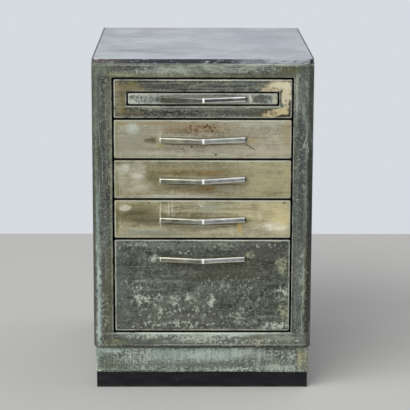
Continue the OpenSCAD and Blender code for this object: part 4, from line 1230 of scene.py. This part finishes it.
def plain_material(name, colour, roughness, metallic=0.0, scale=60):
    s = Shade(name, roughness, metallic, PAINT_GLOSS)
    mottle = s.noise(scale, 4, 0.6, 1)
    fine = s.noise(scale * 6, 2, 0.5, 3)
    tone = s.total((mottle, 0.7), (fine, 0.3))
    s.colour = darker(colour, 1 - PLAIN_SPREAD)
    s.coat(s.step(tone, 0.35, 0.65), tuple(min(1, c) for c in darker(colour, 1 + PLAIN_SPREAD)))
    return s.finish(fine, 0.05 * MM, s.scaled(mottle, 0.2, roughness - 0.1))


def kick_paint():
    """Black satin paint, scuffed here and there and dusty along the floor."""
    s = Shade("black_kick_paint", 0.5, gloss=0.18)
    mottle = s.noise((20, 20, 60), 5, 0.65, 4)
    fine = s.noise(300, 3, 0.6, 8)
    s.colour = 0x141316
    s.coat(s.step(mottle, 0.4, 0.62), 0x1d1c20)
    s.coat(s.step(s.total((fine, 0.6), (mottle, 0.4)), 0.6, 0.68), 0x545250, 0.6)
    dust = s.math("MULTIPLY", s.step(s.xyz[2], 6 * MM, 0.0), s.step(mottle, 0.3, 0.6))
    s.coat(dust, 0x4e4a44, 0.5)
    return s.finish(fine, 0.06 * MM, s.scaled(mottle, 0.3, 0.35))


def back_paint():
    half = HALF_W - REAR_FLANGE
    return worn_paint("back_worn_paint", CASING_TONES, "z", chips=0.1, shift=23.0, grain_depth=0.3,
                      rims=[(-half, half, CASE_BOTTOM, CASE_TOP, 4 * MM, 1.0)], roughness=0.55)


def carried_materials():
    """Materials of the CAD nodes that show as they are."""
    by_slot = {slot: plain_material(*looks) for slot, looks in PLAIN_MATERIALS.items()}
    by_slot["kick_paint"] = kick_paint()
    for part in frame["record"]["subparts"]:
        material = by_slot.get(part["material_slot"])
        if part["node"] == "back_panel":
            material = back_paint()
        if material:
            for slot in NODES[part["node"]].material_slots:
                slot.material = material


# ---- studio ----
CAMERA_PLACE = Vector((-0.0355, -4.2536, 1.3012))
CAMERA_YAW, CAMERA_PITCH, CAMERA_ROLL = -0.0104, 0.2145, 0.0031
LENS, SENSOR = 154.03, 36.0
WALL_Y = 1.28
STAGE_HALF, WALL_H = 7, 6
FLOOR_COLOUR = 0xc8c6c3
WALL_COLOUR = 0xd6dbe0
SKY_LEVEL = 0.42            # how strongly the sky lights the object
LAMPS = (                   # name, place, aim, side of its square, power
    ("key", (-3.45, -3.85, 3.83), (0, -0.1, 0.45), 7.2, 465),
    ("back_fill", (1.4, 3.4, 2.2), (0, 0.2, 0.4), 2.6, 26),
    ("side_fill", (2.8, 0.6, 1.9), (0.2, 0.1, 0.45), 2.6, 22),
)


def camera():
    data = bpy.data.cameras.new("camera")
    data.lens, data.sensor_width = LENS, SENSOR
    thing = in_scene("camera", data)
    yaw, pitch, roll = CAMERA_YAW, CAMERA_PITCH, CAMERA_ROLL
    ahead = Vector((-sin(yaw) * cos(pitch), cos(yaw) * cos(pitch), -sin(pitch)))
    right = Vector((cos(yaw), sin(yaw), 0))
    up = right.cross(ahead)
    across = cos(roll) * right + sin(roll) * up
    upward = -sin(roll) * right + cos(roll) * up
    turn = Matrix((across, upward, -ahead)).transposed()
    thing.matrix_world = Matrix.Translation(CAMERA_PLACE) @ turn.to_4x4()
    bpy.context.scene.camera = thing


def area_light(name, place, aim, size, power):
    data = bpy.data.lights.new(name, "AREA")
    data.shape, data.size, data.size_y = "RECTANGLE", size, size
    data.energy = power
    thing = in_scene(name, data)
    thing.location = place
    thing.visible_camera = False
    thing.rotation_euler = (Vector(aim) - Vector(place)).to_track_quat("-Z", "Y").to_euler()


def seen_directly(tree):
    """1 for rays from the camera, or by way of a mirror or glass."""
    path = add_node(tree, "LightPath").outputs
    share = path["Is Camera Ray"]
    for name in ("Is Glossy Ray", "Is Transmission Ray"):
        share = add_node(tree, "Math", [share, path[name]], operation="ADD",
                         use_clamp=True).outputs[0]
    return share


def wall_material():
    """A plain wall at its own colour from the front, and clear from behind."""
    material = bpy.data.materials.new("wall")
    material.use_nodes = True
    tree = material.node_tree
    tree.nodes.clear()
    shine = add_node(tree, "Emission", [WALL_COLOUR]).outputs[0]
    clear = add_node(tree, "BsdfTransparent").outputs[0]
    behind = add_node(tree, "NewGeometry").outputs["Backfacing"]
    mix = add_node(tree, "MixShader", [behind, shine, clear]).outputs[0]
    add_node(tree, "OutputMaterial", [mix])
    return material


def stage_sheet(name, verts, material):
    mesh = bpy.data.meshes.new(name)
    mesh.from_pydata(verts, [], [(0, 1, 2, 3)])
    mesh.materials.append(material)
    thing = in_scene(name, mesh)
    return thing


def studio():
    half = STAGE_HALF
    floor = Shade("floor", 0.9, gloss=0.1)
    floor.colour = FLOOR_COLOUR
    stage_sheet("floor", [(-half, -half, 0), (half, -half, 0), (half, half, 0), (-half, half, 0)],
                floor.finish())
    wall = stage_sheet("wall", [(-half, WALL_Y, 0), (half, WALL_Y, 0), (half, WALL_Y, WALL_H),
                                (-half, WALL_Y, WALL_H)], wall_material())
    wall.visible_diffuse = wall.visible_shadow = False
    for lamp in LAMPS:
        area_light(*lamp)
    world = bpy.data.worlds.new("studio")
    world.use_nodes = True
    tree = world.node_tree
    level = add_node(tree, "MapRange", [seen_directly(tree), 0.0, 1.0, SKY_LEVEL, 1.0])
    for socket, value in zip(tree.nodes["Background"].inputs, (WALL_COLOUR, level.outputs[0])):
        feed(tree, socket, value)
    bpy.context.scene.world = world


camera()
studio()
bpy.context.scene.view_settings.view_transform = "Standard"
carried_materials()
casing = worn_paint("casing_worn_paint", CASING_TONES, "both", CASING_MARKS, 0.4,
                    [(*OPENING, 2.4 * MM, 0.7)], shift=11.0, pocket="opening", speck_scale=170,
                    marks_d=15, sides=SIDE_MARKS)
side_panels(casing)
rails(casing)
plinth(worn_paint("plinth_worn_paint", PLINTH_TONES, "z", PLINTH_MARKS, 0.6, shift=101.0,
                  streaks=1.5, speck_scale=150, grain_depth=1.0, marks_d=18,
                  sides=PLINTH_SIDE_MARKS))
fronts()
worktop()
handles()
